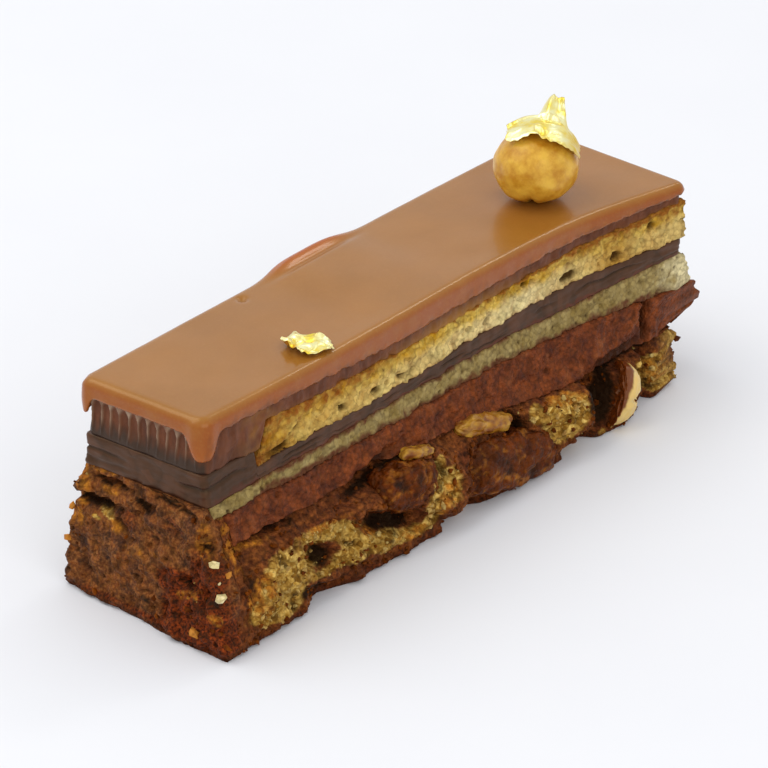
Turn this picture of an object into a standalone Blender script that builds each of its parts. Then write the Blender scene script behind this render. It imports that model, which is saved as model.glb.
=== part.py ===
"""A praline entremet: a cut bar of layered cake under a milk chocolate glaze.

From the table up it holds a baked hazelnut cake, chocolate cremeux, soaked almond sponge, dark ganache,
a second almond sponge wrapped at one end in praline mousse, and the glaze. A roasted hazelnut and two
pieces of gold leaf lie on top, and nuts and chocolate lumps sit in the sides of the cake.

X runs along the bar, from its finished end to its cut end, Y across it and Z up. The cut long face looks
towards -Y. The origin is in the flat face that the bar rests on. Sizes below are in millimetres.
"""

import math

import bmesh
import bpy
import numpy as np
from mathutils import Vector

MM = 0.001

# Driving dimensions.
LENGTH = 120.0  # of the glazed top
TOP_Z = 40.0  # height of the glazed top
GAP = 0.3  # clearance between neighbouring solids
LEAF = 0.3  # thickness of the gold leaf
FINISHED_END = -LENGTH / 2
CUT_END = LENGTH / 2

# The bar was cut by hand, so its lines wander. Each line is given at these six cuts along the length.
STATIONS = LENGTH * np.array((-0.5, -0.3, -0.1, 0.1, 0.3, 0.5))
FRONT_Y = (-13.9, -13.8, -12.9, -11.9, -12.4, -16.9)
BACK_Y = (11.9, 12.9, 13.9, 15.0, 15.6, 15.9)
FOOT_FRONT_Y = (-20.6, -18.8, -19.0, -17.8, -18.2, -13.8)
FOOT_BACK_Y = (16.4, 17.4, 18.2, 18.8, 19.2, 17.0)
GLAZE_UNDER_Z = (37.0, 36.6, 35.5, 35.9, 36.7, 38.2)
UPPER_SPONGE_TOP_Z = (34.8, 33.8, 33.1, 33.2, 34.5, 36.2)
GANACHE_TOP_Z = (26.3, 27.2, 27.1, 27.7, 28.4, 29.0)
GANACHE_UNDER_Z = (24.6, 24.8, 24.8, 24.6, 24.5, 25.8)
LOWER_SPONGE_UNDER_Z = (22.2, 21.7, 21.5, 21.0, 20.4, 18.9)
CREMEUX_UNDER_Z = (17.0, 16.6, 15.9, 13.8, 12.0, 11.4)

# How the cut faces swell on the way down from the glaze's outline to the foot's: height, and share of the way.
SWELL = ((0.0, 1.0), (8.0, 0.96), (13.0, 0.75), (16.0, 0.48), (21.0, 0.25), (25.0, 0.11), (29.0, 0.02), (40.0, 0.0))

# The finished end: mousse closes it, over ganache, over the risen rim of the baked cake.
SPONGE_TIP_X = FINISHED_END + 13.5
MOUSSE_END_Z = 29.8
RIM_X = FINISHED_END + 2.0
RIM_SHELF_X = FINISHED_END + 4.4
CAKE_END_X = FINISHED_END - 1.4
END_SLANT = 1.7  # the upper layers' end is out of square by this much, and the cake's the other way
CAKE_END_SLANT = 1.0
BROKEN_END_X = CUT_END + 4.0  # the layers under the ganache stick out of the cut end
CAKE_CUT_X = CUT_END - 1.0

GLAZE_EDGE_R = 1.2
GLAZE_CORNER_R = 2.2
MOUSSE_CORNER_R = 2.8
LIP = 0.45  # thickness of the glaze that hangs over the mousse
LIP_DROP = 0.15
DRIPS = ((0.0, 3.6, 2.8), (1.0, 3.2, 2.8))  # place across the finished end, drop and width

# The curl of glaze on the back edge: place along the bar, half length, how far out and how high.
CURL_X, CURL_HALF, CURL_OUT, CURL_UP = -5.0, 10.0, 1.3, 0.7

NUT_AT = (36.8, -1.1)
NUT_R = (7.5, 7.2, 6.8)
FLAKE_AT = (-30.3, -8.8)

DIRECTIONS = np.random.default_rng(11).normal(size=(509, 3))
DIRECTIONS /= np.linalg.norm(DIRECTIONS, axis=1)[:, None]

COLOURS = {
    "glaze": ("A9764C", 0.30, 0.0),
    "praline_mousse": ("6E4738", 0.55, 0.0),
    "almond_sponge": ("C8AE66", 0.90, 0.0),
    "soaked_sponge": ("93905F", 0.80, 0.0),
    "dark_ganache": ("443430", 0.45, 0.0),
    "chocolate_cremeux": ("6A3626", 0.60, 0.0),
    "hazelnut_cake": ("8A5426", 0.90, 0.0),
    "chocolate_lump": ("55291C", 0.65, 0.0),
    "roasted_nut": ("CFA04A", 0.45, 0.0),
    "gold_leaf": ("F0D860", 0.28, 1.0),
}

# Hollows and swellings of the torn faces: x, z, half length, half height, how far outwards, and slope.
FRONT_FEATURES = (
    (-47.5, 16.3, 7.0, 0.8, -2.4, -0.08),
    (-37.4, 8.4, 2.9, 2.3, -4.2, -0.4),
    (-36.0, 1.2, 4.4, 1.8, -2.2, 0.1),
    (-19.3, 7.2, 7.4, 2.0, -4.8, -0.34),
    (-22.5, 15.4, 7.5, 1.4, -4.2, 0.19),
    (-1.6, 0.8, 5.0, 2.2, -3.0, 0.0),
    (13.4, 10.2, 1.9, 2.0, -5.0, 0.0),
    (29.6, 0.8, 4.0, 2.4, -4.0, 0.0),
    (36.0, 9.2, 3.5, 6.2, -7.6, 0.0),
    (42.0, 12.2, 6.5, 1.5, -4.5, 0.0),
    (49.8, 5.0, 1.7, 9.0, -5.0, 0.0),
    (-46.0, 12.6, 8.0, 2.2, 0.9, 0.1),
    (-28.0, 11.4, 6.0, 1.8, 1.0, -0.1),
    (-5.8, 7.8, 4.2, 4.6, 1.5, 0.0),
    (25.4, 8.2, 7.4, 4.4, 1.2, 0.0),
    (55.8, 4.0, 3.2, 4.0, 0.8, 0.0),
)
BACK_FEATURES = (
    (-44.0, 5.0, 6.0, 2.4, -3.4, 0.1),
    (-26.0, 11.5, 5.0, 1.6, -2.8, 0.1),
    (3.0, 4.6, 6.0, 2.2, -4.0, -0.2),
    (25.5, 10.5, 2.6, 2.4, -3.8, 0.0),
    (46.0, 5.4, 3.6, 4.6, -4.6, 0.0),
    (-32.0, 5.0, 4.6, 3.6, 1.2, 0.0),
    (-3.0, 10.0, 5.0, 3.0, 1.1, 0.0),
    (34.0, 5.6, 5.0, 5.0, 1.3, 0.0),
)
END_FEATURES = (
    (6.0, 22.9, 3.4, 0.6, -2.0, 0.0),
    (8.6, 18.2, 5.2, 0.9, -1.9, -0.12),
    (-2.6, 21.4, 1.7, 0.9, -1.5, 0.0),
    (-11.8, 10.9, 2.4, 0.5, -1.2, 0.1),
    (13.6, 20.6, 2.4, 2.0, 0.9, 0.0),
    (2.0, 11.0, 7.0, 4.0, 0.5, 0.0),
    (-14.5, 5.0, 4.0, 4.0, 0.6, 0.0),
    (-9.5, 1.0, 6.5, 2.2, 0.7, 0.0),
)
CREMEUX_FEATURES = (
    (50.6, 17.0, 0.9, 4.4, -3.0, 0.0),
    (42.0, 12.6, 7.0, 1.3, -1.8, 0.0),
    (-22.0, 16.4, 7.5, 1.0, -1.6, 0.19),
)

# Pieces held in the sides of the cake: (name, material, centre, half sizes, turn about X, Y and Z in degrees).
LUMPS = (
    ("chocolate_lump_large", "chocolate_lump", (10.8, -17.1, 5.6), (12.4, 3.6, 4.5), (0, 11, 1)),
    ("chocolate_lump_middle", "chocolate_lump", (-15.4, -16.4, 11.4), (6.8, 3.4, 4.0), (0, 8, -5)),
    ("chocolate_lump_back", "chocolate_lump", (14.0, 18.2, 6.6), (6.8, 3.4, 4.6), (0, 8, 0)),
    ("hazelnut_wedge", "roasted_nut", (6.6, -15.3, 13.6), (6.3, 2.3, 1.6), (8, 13, -2)),
    ("hazelnut_chip", "roasted_nut", (-11.3, -16.2, 15.9), (3.2, 1.2, 0.9), (0, 10, -8)),
)
HALF_NUTS = (
    ("hazelnut_half", (40.6, -16.4, 6.1), (6.0, 4.6, 4.4), (0, 104, -30)),
    ("hazelnut_half_back", (-12.5, 16.2, 8.6), (6.8, 6.4, 3.6), (-8, 20, 0)),
)


def along(values):
    """A smooth line through one value at each of the stations: cubic pieces that keep their slope."""
    values = np.asarray(values, float)
    slopes = np.gradient(values, STATIONS)

    def line(x):
        x = np.clip(x, STATIONS[0], STATIONS[-1])
        i = np.clip(np.searchsorted(STATIONS, x) - 1, 0, len(STATIONS) - 2)
        span = STATIONS[i + 1] - STATIONS[i]
        t = (x - STATIONS[i]) / span
        held = (1 + 2 * t) * (1 - t) ** 2 * values[i] + t * t * (3 - 2 * t) * values[i + 1]
        return held + t * (1 - t) ** 2 * span * slopes[i] + t * t * (t - 1) * span * slopes[i + 1]

    return line


front_line, back_line = along(FRONT_Y), along(BACK_Y)
foot_front, foot_back = along(FOOT_FRONT_Y), along(FOOT_BACK_Y)
glaze_under, sponge_top = along(GLAZE_UNDER_Z), along(UPPER_SPONGE_TOP_Z)
ganache_top_inner, ganache_under = along(GANACHE_TOP_Z), along(GANACHE_UNDER_Z)
lower_sponge_under, cremeux_under = along(LOWER_SPONGE_UNDER_Z), along(CREMEUX_UNDER_Z)


def swell(z):
    heights, shares = zip(*SWELL)
    return np.interp(z, heights, shares)


def front_face(x, z):
    return front_line(x) + (foot_front(x) - front_line(x)) * swell(z)


def back_face(x, z):
    return back_line(x) + (foot_back(x) - back_line(x)) * swell(z)


def step(x, place, before, after, width=0.3):
    """before on the left of a place, after on its right, with a steep ramp between."""
    t = np.clip((x - place) / width + 0.5, 0, 1)
    return before + (after - before) * t


def ganache_top(x):
    return step(x, SPONGE_TIP_X - 0.4, MOUSSE_END_Z, ganache_top_inner(x))


def mousse_under(x):
    return step(x, SPONGE_TIP_X + 1.5, MOUSSE_END_Z, sponge_top(x), 1.7)


def cake_top(x):
    """The baked cake's upper side: a rim at the finished end, then two steps down to the cremeux."""
    shelf = step(x, RIM_SHELF_X, lower_sponge_under(x), cremeux_under(x))
    return step(x, RIM_X, ganache_under(x), shelf)


def unit_noise(points, seed):
    """Gradient noise of about -1 to 1: every corner of a cubic lattice has a direction, and each point blends
    the slopes of the eight corners round it with a smooth ramp."""
    cell = np.floor(points).astype(np.int64)
    rest = points - cell
    ramp = rest**3 * (rest * (rest * 6 - 15) + 10)
    total = np.zeros(len(points))
    for corner in np.ndindex(2, 2, 2):
        key = (cell + corner) @ np.array((73856093, 19349663, 83492791)) + seed * 7919
        direction = DIRECTIONS[(key ^ (key >> 9)) % len(DIRECTIONS)]
        weight = np.where(corner, ramp, 1 - ramp).prod(1)
        total += weight * (direction * (rest - corner)).sum(1)
    return total * 1.7


def wander(points, size, seed, octaves=3):
    """Noise with grains of the given size in millimetres, and finer grains of half the strength on them."""
    return sum(unit_noise(np.asarray(points) / size * 2**k, seed + k) / 2**k for k in range(octaves))


def features(list_of_features, x, z):
    """The sum of the soft-edged hollows and swellings at each place of a face."""
    total = np.zeros(len(x))
    for fx, fz, half_x, half_z, out, slope in list_of_features:
        reach = ((x - fx) / half_x) ** 2 + ((z - fz - slope * (x - fx)) / half_z) ** 2
        total += out * np.exp(-(reach**2) * 0.7)
    return total


def columns(count, *extra):
    """Places along the bar as shares of its length, evenly spread, with extra ones where a step needs them."""
    even = np.linspace(0, 1, count + 1)
    added = [(x - FINISHED_END) / LENGTH for x in extra]
    kept = [u for u in even if all(abs(u - a) > 0.35 / count for a in added) or u in (0, 1)]
    return np.array(sorted(kept + added))


def between(share):
    return lambda low, high, u, v: low + share * (high - low)


def make_object(name, bm, material):
    mesh = bpy.data.meshes.new(name)
    bmesh.ops.recalc_face_normals(bm, faces=bm.faces)
    if name.startswith("hazelnut_half") and bm.calc_volume(signed=True) < 0:
        bmesh.ops.reverse_faces(bm, faces=bm.faces)
    bm.to_mesh(mesh)
    bm.free()
    mesh.materials.append(material)
    obj = bpy.data.objects.new(name, mesh)
    bpy.context.collection.objects.link(obj)
    return obj


def rounding(radius, reach):
    """How far a rounded corner falls back from the square one, at a distance from the other side."""
    return radius - np.sqrt(np.maximum(radius**2 - np.maximum(radius - reach, 0) ** 2, 0))


def layer(name, material, shape, levels, relief=None, corner=0.0, stations=None, across=10, end_inset=1.0, far_margin=0.6):
    """One layer of the bar as a closed solid: rings of points round its four sides, one for each level, with
    its under and upper sides ruled from the front ring to the back ring.

    shape gives the functions under(x), over(x), front(x, z), back(x, z), near(v, z) and far(v, z), where v runs
    across the bar from 0 to 1. levels is a list of (inset, height), from the lowest ring to the highest.
    """
    u = columns(40) if stations is None else stations
    z = np.array((0.0, 0.5 * TOP_Z, TOP_Z))
    first = max(shape["near"](v_end, z).max() for v_end in (0, 1)) + 0.6
    last = min(shape["far"](v_end, z).min() for v_end in (0, 1)) - far_margin
    place = FINISHED_END + LENGTH * u
    u = np.concatenate([[0.0], u[(place > first) & (place < last)], [1.0]])
    n, m = len(u) - 1, across
    v = np.linspace(0, 1, m + 1)
    ring_u = np.concatenate([u, np.ones(m - 1), u[::-1], np.zeros(m - 1)])
    ring_v = np.concatenate([np.zeros(n + 1), v[1:-1], np.ones(n + 1), v[-2:0:-1]])
    out_x = np.where(ring_u == 1, 1.0, np.where(ring_u == 0, -1.0, 0.0))
    out_y = np.where(ring_v == 1, 1.0, np.where(ring_v == 0, -1.0, 0.0))
    length = np.hypot(out_x, out_y)
    out = np.stack([out_x / length, out_y / length, np.zeros(len(ring_u))], 1)

    at_near, at_far, at_front, at_back = ring_u == 0, ring_u == 1, ring_v == 0, ring_v == 1
    nominal = FINISHED_END + LENGTH * ring_u
    rings = []
    for inset, height in levels:
        z = height(shape["under"](nominal), shape["over"](nominal), ring_u, ring_v)
        near, far = shape["near"](ring_v, z), shape["far"](ring_v, z)
        x = np.where(at_near, near, np.where(at_far, far, nominal))
        z = height(shape["under"](x), shape["over"](x), ring_u, ring_v)
        front, back = shape["front"](x, z), shape["back"](x, z)
        y = front + (back - front) * ring_v
        bend_y = rounding(corner, np.minimum(x - near, far - x))
        bend_x = rounding(corner, np.minimum(y - front, back - y))
        diagonal = np.isin(ring_u, (0, 1)) & np.isin(ring_v, (0, 1))
        bend_x, bend_y = (np.where(diagonal, corner * (1 - math.sqrt(0.5)), bend) for bend in (bend_x, bend_y))
        x = x + bend_x * at_near - bend_x * at_far
        y = y + bend_y * at_front - bend_y * at_back
        points = np.stack([x, y, z], 1)
        points = points - out * (inset, inset, 0) * np.where(at_near | at_far, end_inset, 1.0)[:, None]
        if relief is not None:
            share = 0.35 if (inset, height) == levels[-1] else 1.0
            points = points + out * (relief(points, ring_u, ring_v) * share)[:, None]
        rings.append(points)

    bm = bmesh.new()
    verts = [[bm.verts.new(Vector(p) * MM) for p in ring] for ring in rings]
    count = len(ring_u)
    for low, high in zip(verts, verts[1:]):
        for i in range(count):
            j = (i + 1) % count
            bm.faces.new((low[i], low[j], high[j], high[i]))
    for ring, upwards in ((verts[0], False), (verts[-1], True)):
        strips = [(ring[i], ring[i + 1], ring[2 * n + m - i - 1], ring[2 * n + m - i]) for i in range(1, n - 1)]
        strips.append((ring[0], ring[1], ring[2 * n + m - 1], *ring[2 * n + m :]))
        strips.append((ring[n - 1], *ring[n : n + m + 1], ring[n + m + 1]))
        for strip in strips:
            bm.faces.new(strip if upwards else strip[::-1])
    bmesh.ops.triangulate(bm, faces=bm.faces)
    return make_object(name, bm, material)


def cut_faces(inset):
    """The two long cut faces, a little inside the glaze's outline at the top and swelling downwards."""
    return {
        "front": lambda x, z: front_face(x, z) + inset,
        "back": lambda x, z: back_face(x, z) - inset,
    }


def ends(near, far, slant=0.0):
    """The two ends: the finished one out of square in plan, or leaning over where a slant is given."""
    turned = 0.0 if slant else END_SLANT
    return {
        "near": lambda v, z: near + slant * (z - 26.5) - turned * (v - 0.5),
        "far": lambda v, z: far + 0 * z,
    }


def make_glaze(material):
    """The glaze: rounded top edge, a lip that hangs just over the mousse, two drips at the finished end's
    corners, and a curl on the back edge."""

    def curl(x):
        return np.exp(-(((x - CURL_X) / CURL_HALF) ** 4))

    def lip(low, high, u, v):
        drop = np.full(len(low), LIP_DROP)
        place = np.where(u == 0, v * 26.0, np.where(v > 0.5, 26.0, 0.0))
        along_side = np.where(u == 0, 0.0, u * LENGTH)
        for side, amount, width in DRIPS:
            away = np.hypot(place - side * 26.0, along_side) / width
            drop = drop + amount * np.exp(-(away**2) * 2)
        return low - drop

    def top(below):
        def height(low, high, u, v):
            raised = CURL_UP * curl(FINISHED_END + LENGTH * u) * (v == 1)
            return high - below + raised

        return height

    r = GLAZE_EDGE_R
    levels = [
        (LIP, between(0)),
        (LIP, lambda low, high, u, v: lip(low, high, u, v) + 0.05),
        (0.0, lip),
        (0.0, top(r)),
        (r * (1 - math.cos(math.pi / 4)), top(r * (1 - math.sin(math.pi / 4)))),
        (r, top(0.0)),
    ]
    shape = {
        "under": glaze_under,
        "over": lambda x: np.full(len(x), TOP_Z),
        "front": lambda x, z: front_line(x),
        "back": lambda x, z: back_line(x) + CURL_OUT * curl(x),
        **ends(FINISHED_END - 0.3, CUT_END - 0.4),
    }
    layer("glaze", material, shape, levels, None, GLAZE_CORNER_R)


def make_mousse(material):
    def relief(points, u, v):
        knife = 0.12 * np.sin(points[:, 1] * 2.6) * (u == 0)
        return knife + 0.2 * wander(points, 5.0, 1)

    shape = {
        "under": lambda x: mousse_under(x) + GAP,
        "over": lambda x: glaze_under(x) - GAP,
        **cut_faces(0.8),
        **ends(FINISHED_END + 0.5, CUT_END - 1.2),
    }
    levels = [(0.0, between(0)), (0.0, between(0.5)), (0.1, between(1))]
    stations = columns(40, SPONGE_TIP_X + 0.65, SPONGE_TIP_X + 2.35)
    layer("praline_mousse", material, shape, levels, relief, MOUSSE_CORNER_R, stations)


def make_upper_sponge(material):
    def relief(points, u, v):
        torn = 0.45 * wander(points, 3.4, 2) + 0.25 * wander(points, 1.5, 3)
        return np.where(u == 0, 0.2, 1.0) * torn

    shape = {
        "under": lambda x: ganache_top_inner(x) + GAP,
        "over": sponge_top,
        **cut_faces(0.75),
        **ends(SPONGE_TIP_X, CUT_END - 0.6, slant=0.35),
    }
    levels = [(0.1, between(0)), (0.0, between(0.33)), (0.0, between(0.67)), (0.1, between(1))]
    layer("almond_sponge_upper", material, shape, levels, relief)


def make_ganache(material):
    def relief(points, u, v):
        return 0.14 * wander(points, 6.0, 4)

    shape = {
        "under": lambda x: ganache_under(x) + GAP,
        "over": ganache_top,
        **cut_faces(0.7),
        **ends(FINISHED_END + 0.3, CUT_END - 0.9),
    }
    levels = [(0.0, between(0)), (0.0, between(0.5)), (0.0, between(1))]
    stations = columns(40, SPONGE_TIP_X - 0.55, SPONGE_TIP_X - 0.25)
    layer("dark_ganache", material, shape, levels, relief, 1.0, stations)


def make_lower_sponge(material):
    def relief(points, u, v):
        free = np.where(u == 0, 0.0, 1.0)
        return free * (0.35 * wander(points, 3.6, 5) + 0.15 * wander(points, 1.6, 6))

    shape = {
        "under": lambda x: lower_sponge_under(x) + GAP,
        "over": ganache_under,
        **cut_faces(0.7),
        "near": lambda v, z: RIM_X + 0.7 + 0 * z,
        "far": lambda v, z: np.interp(z, (19.0, 25.5), (BROKEN_END_X - 1.0, CUT_END - 0.2)),
    }
    levels = [(0.0, between(0)), (0.0, between(0.5)), (0.0, between(1))]
    layer("almond_sponge_lower", material, shape, levels, relief)


def make_cremeux(material):
    def relief(points, u, v):
        x, z = points[:, 0], points[:, 2]
        carved = features(CREMEUX_FEATURES, x, z) * (v == 0)
        corner_break = -1.2 * np.exp(-(((z - 11.0) / 1.6) ** 2)) * (u == 1)
        torn = 0.55 * wander(points, 4.6, 7) + 0.25 * wander(points, 1.8, 8)
        return np.where(u == 0, 0.0, carved + corner_break + torn)

    shape = {
        "under": lambda x: cremeux_under(x) + GAP,
        "over": lower_sponge_under,
        **cut_faces(0.5),
        "near": lambda v, z: RIM_SHELF_X + 0.7 + 0 * z,
        "far": lambda v, z: BROKEN_END_X + np.interp(z, (11.0, 13.5, 16.0, 19.0), (-4.0, 1.8, 1.0, -0.8)),
    }
    levels = [(0.5, between(0)), (0.0, between(0.12)), (0.0, between(0.4)), (0.0, between(0.7)), (0.0, between(1))]
    return layer("chocolate_cremeux", material, shape, levels, relief, 0.0, columns(48), far_margin=4.5)


def make_cake(material):
    """The baked cake: crumb torn into crags and hollows at its cut sides, smoother at its browned end."""

    def relief(points, u, v):
        x, y, z = points.T
        carved = features(FRONT_FEATURES, x, z) * (v == 0) + features(BACK_FEATURES, x, z) * (v == 1)
        pressed = features(END_FEATURES, y, z) * (u == 0)
        torn = (1.3 * wander(points, 4.4, 9) + 0.6 * wander(points, 2.1, 10)) * np.where(u == 1, 0.6, 1.0)
        end_hollow = -3.2 * np.exp(-(((z - 9.5) / 3.2) ** 2)) * (u == 1) * np.clip(6 * v * (1 - v), 0, 1)
        baked = np.clip((x - CAKE_END_X) / 9.0, 0.25, 1.0)
        standing = np.clip(z / 1.2, 0.35, 1.0) * np.where((u == 0) & (z > 20), 0.3, 1.0)
        return (carved + end_hollow + torn * standing) * baked + pressed

    def outer_edge(low, high, u, v):
        return low + 0.86 * (high - low)

    shape = {
        "under": lambda x: np.zeros(len(x)),
        "over": cake_top,
        "front": lambda x, z: front_face(x, z) - 0.3,
        "back": back_face,
        "near": lambda v, z: CAKE_END_X + CAKE_END_SLANT * (v - 0.5) + np.interp(z, (0, 14, 17, 25), (0, 0.5, 0.9, 0.9)),
        "far": lambda v, z: CAKE_CUT_X - 0.6 * v + 0 * z,
    }
    levels = [(0.6, between(0))]
    levels += [(0.0, between(share)) for share in (0.05, 0.16, 0.29, 0.42, 0.55, 0.68, 0.78)]
    levels += [(0.2, outer_edge), (1.7, between(1))]
    stations = columns(56, RIM_X - 0.15, RIM_X + 0.15, RIM_SHELF_X - 0.15, RIM_SHELF_X + 0.15)
    return layer("hazelnut_cake", material, shape, levels, relief, 0.9, stations, 16, end_inset=0.3, far_margin=5.0)


def placed(points, centre, turns):
    """Points turned about X, then Y, then Z, and moved to a centre."""
    for axis, degrees in enumerate(turns):
        a = math.radians(degrees)
        i, j = [(1, 2), (2, 0), (0, 1)][axis]
        first, second = points[:, i].copy(), points[:, j].copy()
        points[:, i] = first * math.cos(a) - second * math.sin(a)
        points[:, j] = first * math.sin(a) + second * math.cos(a)
    return points + np.array(centre)


def ball(name, material, detail, form, cutter=None):
    """A closed round piece: an icosphere whose unit directions the function form turns into points. A cutter
    is the same piece grown by the clearance, kept out of the render."""
    bm = bmesh.new()
    bmesh.ops.create_icosphere(bm, subdivisions=detail, radius=1.0)
    directions = np.array([v.co for v in bm.verts])
    for vert, point in zip(bm.verts, form(directions)):
        vert.co = Vector(point) * MM
    obj = make_object(name, bm, material)
    if cutter is not None:
        obj.hide_render = True
        obj.display_type = "WIRE"
        bpy.context.collection.objects.unlink(obj)
        cutter.objects.link(obj)
    return obj


def lump_form(centre, half, turns, seed, grow=0.0):
    """A lump with blunt corners: between a ball and a box, its surface wandering."""

    def form(d):
        blunt = d / np.power((np.abs(d) ** 3).sum(1), 1 / 3)[:, None]
        rough = 1 + 0.09 * wander(d, 0.7, seed)
        points = blunt * rough[:, None] * np.array(half)
        size = np.linalg.norm(points, axis=1)[:, None]
        return placed(points * (1 + grow / size), centre, turns)

    return form


def half_nut_form(centre, half, turns, seed, grow=0.0):
    """Half a hazelnut: a dome on one side, and nearly flat, with a shallow hollow, on the other."""

    def form(d):
        points = d * np.array(half)
        flat = points[:, 2] < 0
        reach = np.hypot(d[:, 0], d[:, 1])
        points[flat, 2] = points[flat, 2] * 0.12 + 0.35 * (1 - reach[flat]) ** 2
        points += 0.12 * wander(d, 0.8, seed)[:, None] * d
        return placed(points + grow * d, centre, turns)

    return form


def make_inclusions(materials):
    """The pieces held in the cake's sides, and the cutters that make room for them."""
    cutters = bpy.data.collections.new("cutters")
    bpy.context.scene.collection.children.link(cutters)
    for seed, (name, slot, centre, half, turns) in enumerate(LUMPS, start=20):
        detail = 3 if max(half) > 5 else 2
        ball(name, materials[slot], detail, lump_form(centre, half, turns, seed))
        ball(name + "_room", materials[slot], detail, lump_form(centre, half, turns, seed, GAP * 1.5), cutters)
    for seed, (name, centre, half, turns) in enumerate(HALF_NUTS, start=40):
        ball(name, materials["roasted_nut"], 3, half_nut_form(centre, half, turns, seed))
        ball(name + "_room", materials["roasted_nut"], 3, half_nut_form(centre, half, turns, seed, GAP * 1.5), cutters)
    cutters.hide_render = True
    return cutters


def cut_room(obj, cutters, names):
    for name in names:
        modifier = obj.modifiers.new(name, "BOOLEAN")
        modifier.operation = "DIFFERENCE"
        modifier.object = cutters.objects[name + "_room"]
        modifier.solver = "EXACT"


def nut_radius(direction):
    """How far the roasted nut's surface is from its middle: blunt below, with a soft point and a cleft."""
    x, y, z = direction.T
    base = 1 - 0.10 * np.clip(-z, 0, 1) ** 3
    angle = np.arctan2(y, x)
    cleft = -0.10 * np.exp(-(((angle + 2.2) / 0.22) ** 2)) * np.clip(0.3 - z, 0, 1)
    return base + cleft + 0.03 * wander(direction, 0.9, 50)


def make_nut(material):
    def form(d):
        points = d * nut_radius(d)[:, None] * np.array(NUT_R)
        low = points[:, 2].min()
        return points + np.array((*NUT_AT, TOP_Z + GAP - low))

    ball("hazelnut_whole", material, 3, form)


def ripple(s, t, rate, seed):
    return unit_noise(np.array([[s * rate, t * rate, 0.5]]), seed)[0]


def sheet(name, material, count, form, thickness):
    """A thin crumpled leaf: a square grid bent by the function form, then given its thickness."""
    bm = bmesh.new()
    steps = np.linspace(-1, 1, count)
    verts = [[bm.verts.new(Vector(form(s, t)) * MM) for s in steps] for t in steps]
    for low, high in zip(verts, verts[1:]):
        for i in range(count - 1):
            bm.faces.new((low[i], low[i + 1], high[i + 1], high[i]))
    bmesh.ops.triangulate(bm, faces=bm.faces)
    obj = make_object(name, bm, material)
    wall = obj.modifiers.new("thickness", "SOLIDIFY")
    wall.thickness = thickness * MM
    wall.offset = 0.0
    return obj


def make_leaf_on_nut(material):
    """Gold leaf lying over the nut's crown: it hangs down one side, and its far edge stands up in a strip."""
    middle = Vector((*NUT_AT, TOP_Z + GAP + NUT_R[2]))
    side, near = Vector((0.66, -0.75, 0.0)), Vector((-0.75, -0.66, 0.0))

    def form(s, t):
        down = 0.30 + 0.98 * s
        across = (-0.08 + 0.58 * t) * (1.0 - 0.28 * s * s) * (1 + 0.22 * ripple(s, t, 2.6, 60))
        lean = side * math.sin(down) * math.cos(across) + near * math.sin(across)
        lean.z = math.cos(down) * math.cos(across)
        lift = 0.9 + 0.5 * ripple(s, t, 2.3, 61)
        point = middle + Vector([lean[i] * (NUT_R[i] + lift) for i in range(3)])
        strip = max(0.0, -t - 0.2) ** 1.1 * math.exp(-(((s - 0.14) / 0.3) ** 4))
        return point + (side * 0.9 - near * 0.6 + Vector((0, 0, 5.2))) * strip

    sheet("gold_leaf_on_nut", material, 11, form, LEAF)


def make_flake(material):
    """A crumpled flake of gold leaf lying on the glaze near the front edge."""
    rest = TOP_Z + GAP + LEAF
    side, near = Vector((0.66, -0.75, 0.0)), Vector((-0.75, -0.66, 0.0))

    def form(s, t):
        edge = 1 - 0.18 * s * s * t * t + 0.16 * ripple(s, t, 2.2, 62)
        fold = 1.4 * math.exp(-(((t + 0.35 * s + 0.15) / 0.45) ** 2)) * (1 - 0.3 * s)
        crumple = 0.45 + 0.4 * ripple(s, t, 2.0, 63)
        point = Vector((*FLAKE_AT, rest + fold + crumple)) + (side * 5.0 * s + near * 4.2 * t) * edge
        return point

    sheet("gold_leaf_flake", material, 10, form, LEAF)


def linear(code):
    """An sRGB hex colour as the linear numbers that a shader takes."""
    channels = [int(code[i : i + 2], 16) / 255 for i in (0, 2, 4)]
    return [c / 12.92 if c <= 0.04045 else ((c + 0.055) / 1.055) ** 2.4 for c in channels]


def make_material(name, code, roughness, metallic):
    material = bpy.data.materials.new(name)
    material.use_nodes = True
    shader = material.node_tree.nodes["Principled BSDF"]
    shader.inputs["Base Color"].default_value = (*linear(code), 1.0)
    shader.inputs["Roughness"].default_value = roughness
    shader.inputs["Metallic"].default_value = metallic
    return material


def main():
    for obj in list(bpy.data.objects):
        bpy.data.objects.remove(obj)
    materials = {name: make_material(name, *values) for name, values in COLOURS.items()}
    make_glaze(materials["glaze"])
    make_mousse(materials["praline_mousse"])
    make_upper_sponge(materials["almond_sponge"])
    make_ganache(materials["dark_ganache"])
    make_lower_sponge(materials["soaked_sponge"])
    cremeux = make_cremeux(materials["chocolate_cremeux"])
    cake = make_cake(materials["hazelnut_cake"])
    cutters = make_inclusions(materials)
    held = [piece[0] for piece in (*LUMPS, *HALF_NUTS)]
    cut_room(cake, cutters, held)
    cut_room(cremeux, cutters, ["hazelnut_wedge", "hazelnut_chip", "chocolate_lump_middle", "hazelnut_half"])
    make_nut(materials["roasted_nut"])
    make_leaf_on_nut(materials["gold_leaf"])
    make_flake(materials["gold_leaf"])


main()
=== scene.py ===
# %% [markdown]
# # A praline entremet
# This notebook dresses a cut bar of layered cake: baked hazelnut cake, chocolate cremeux, soaked almond
# sponge, ganache, a second sponge, praline mousse and a milk chocolate glaze, with a hazelnut and gold
# leaf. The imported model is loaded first. It stays in place as the frame that every new piece is fitted to.

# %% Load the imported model
import math

import bpy
import numpy as np
from mathutils import Matrix, Vector


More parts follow.
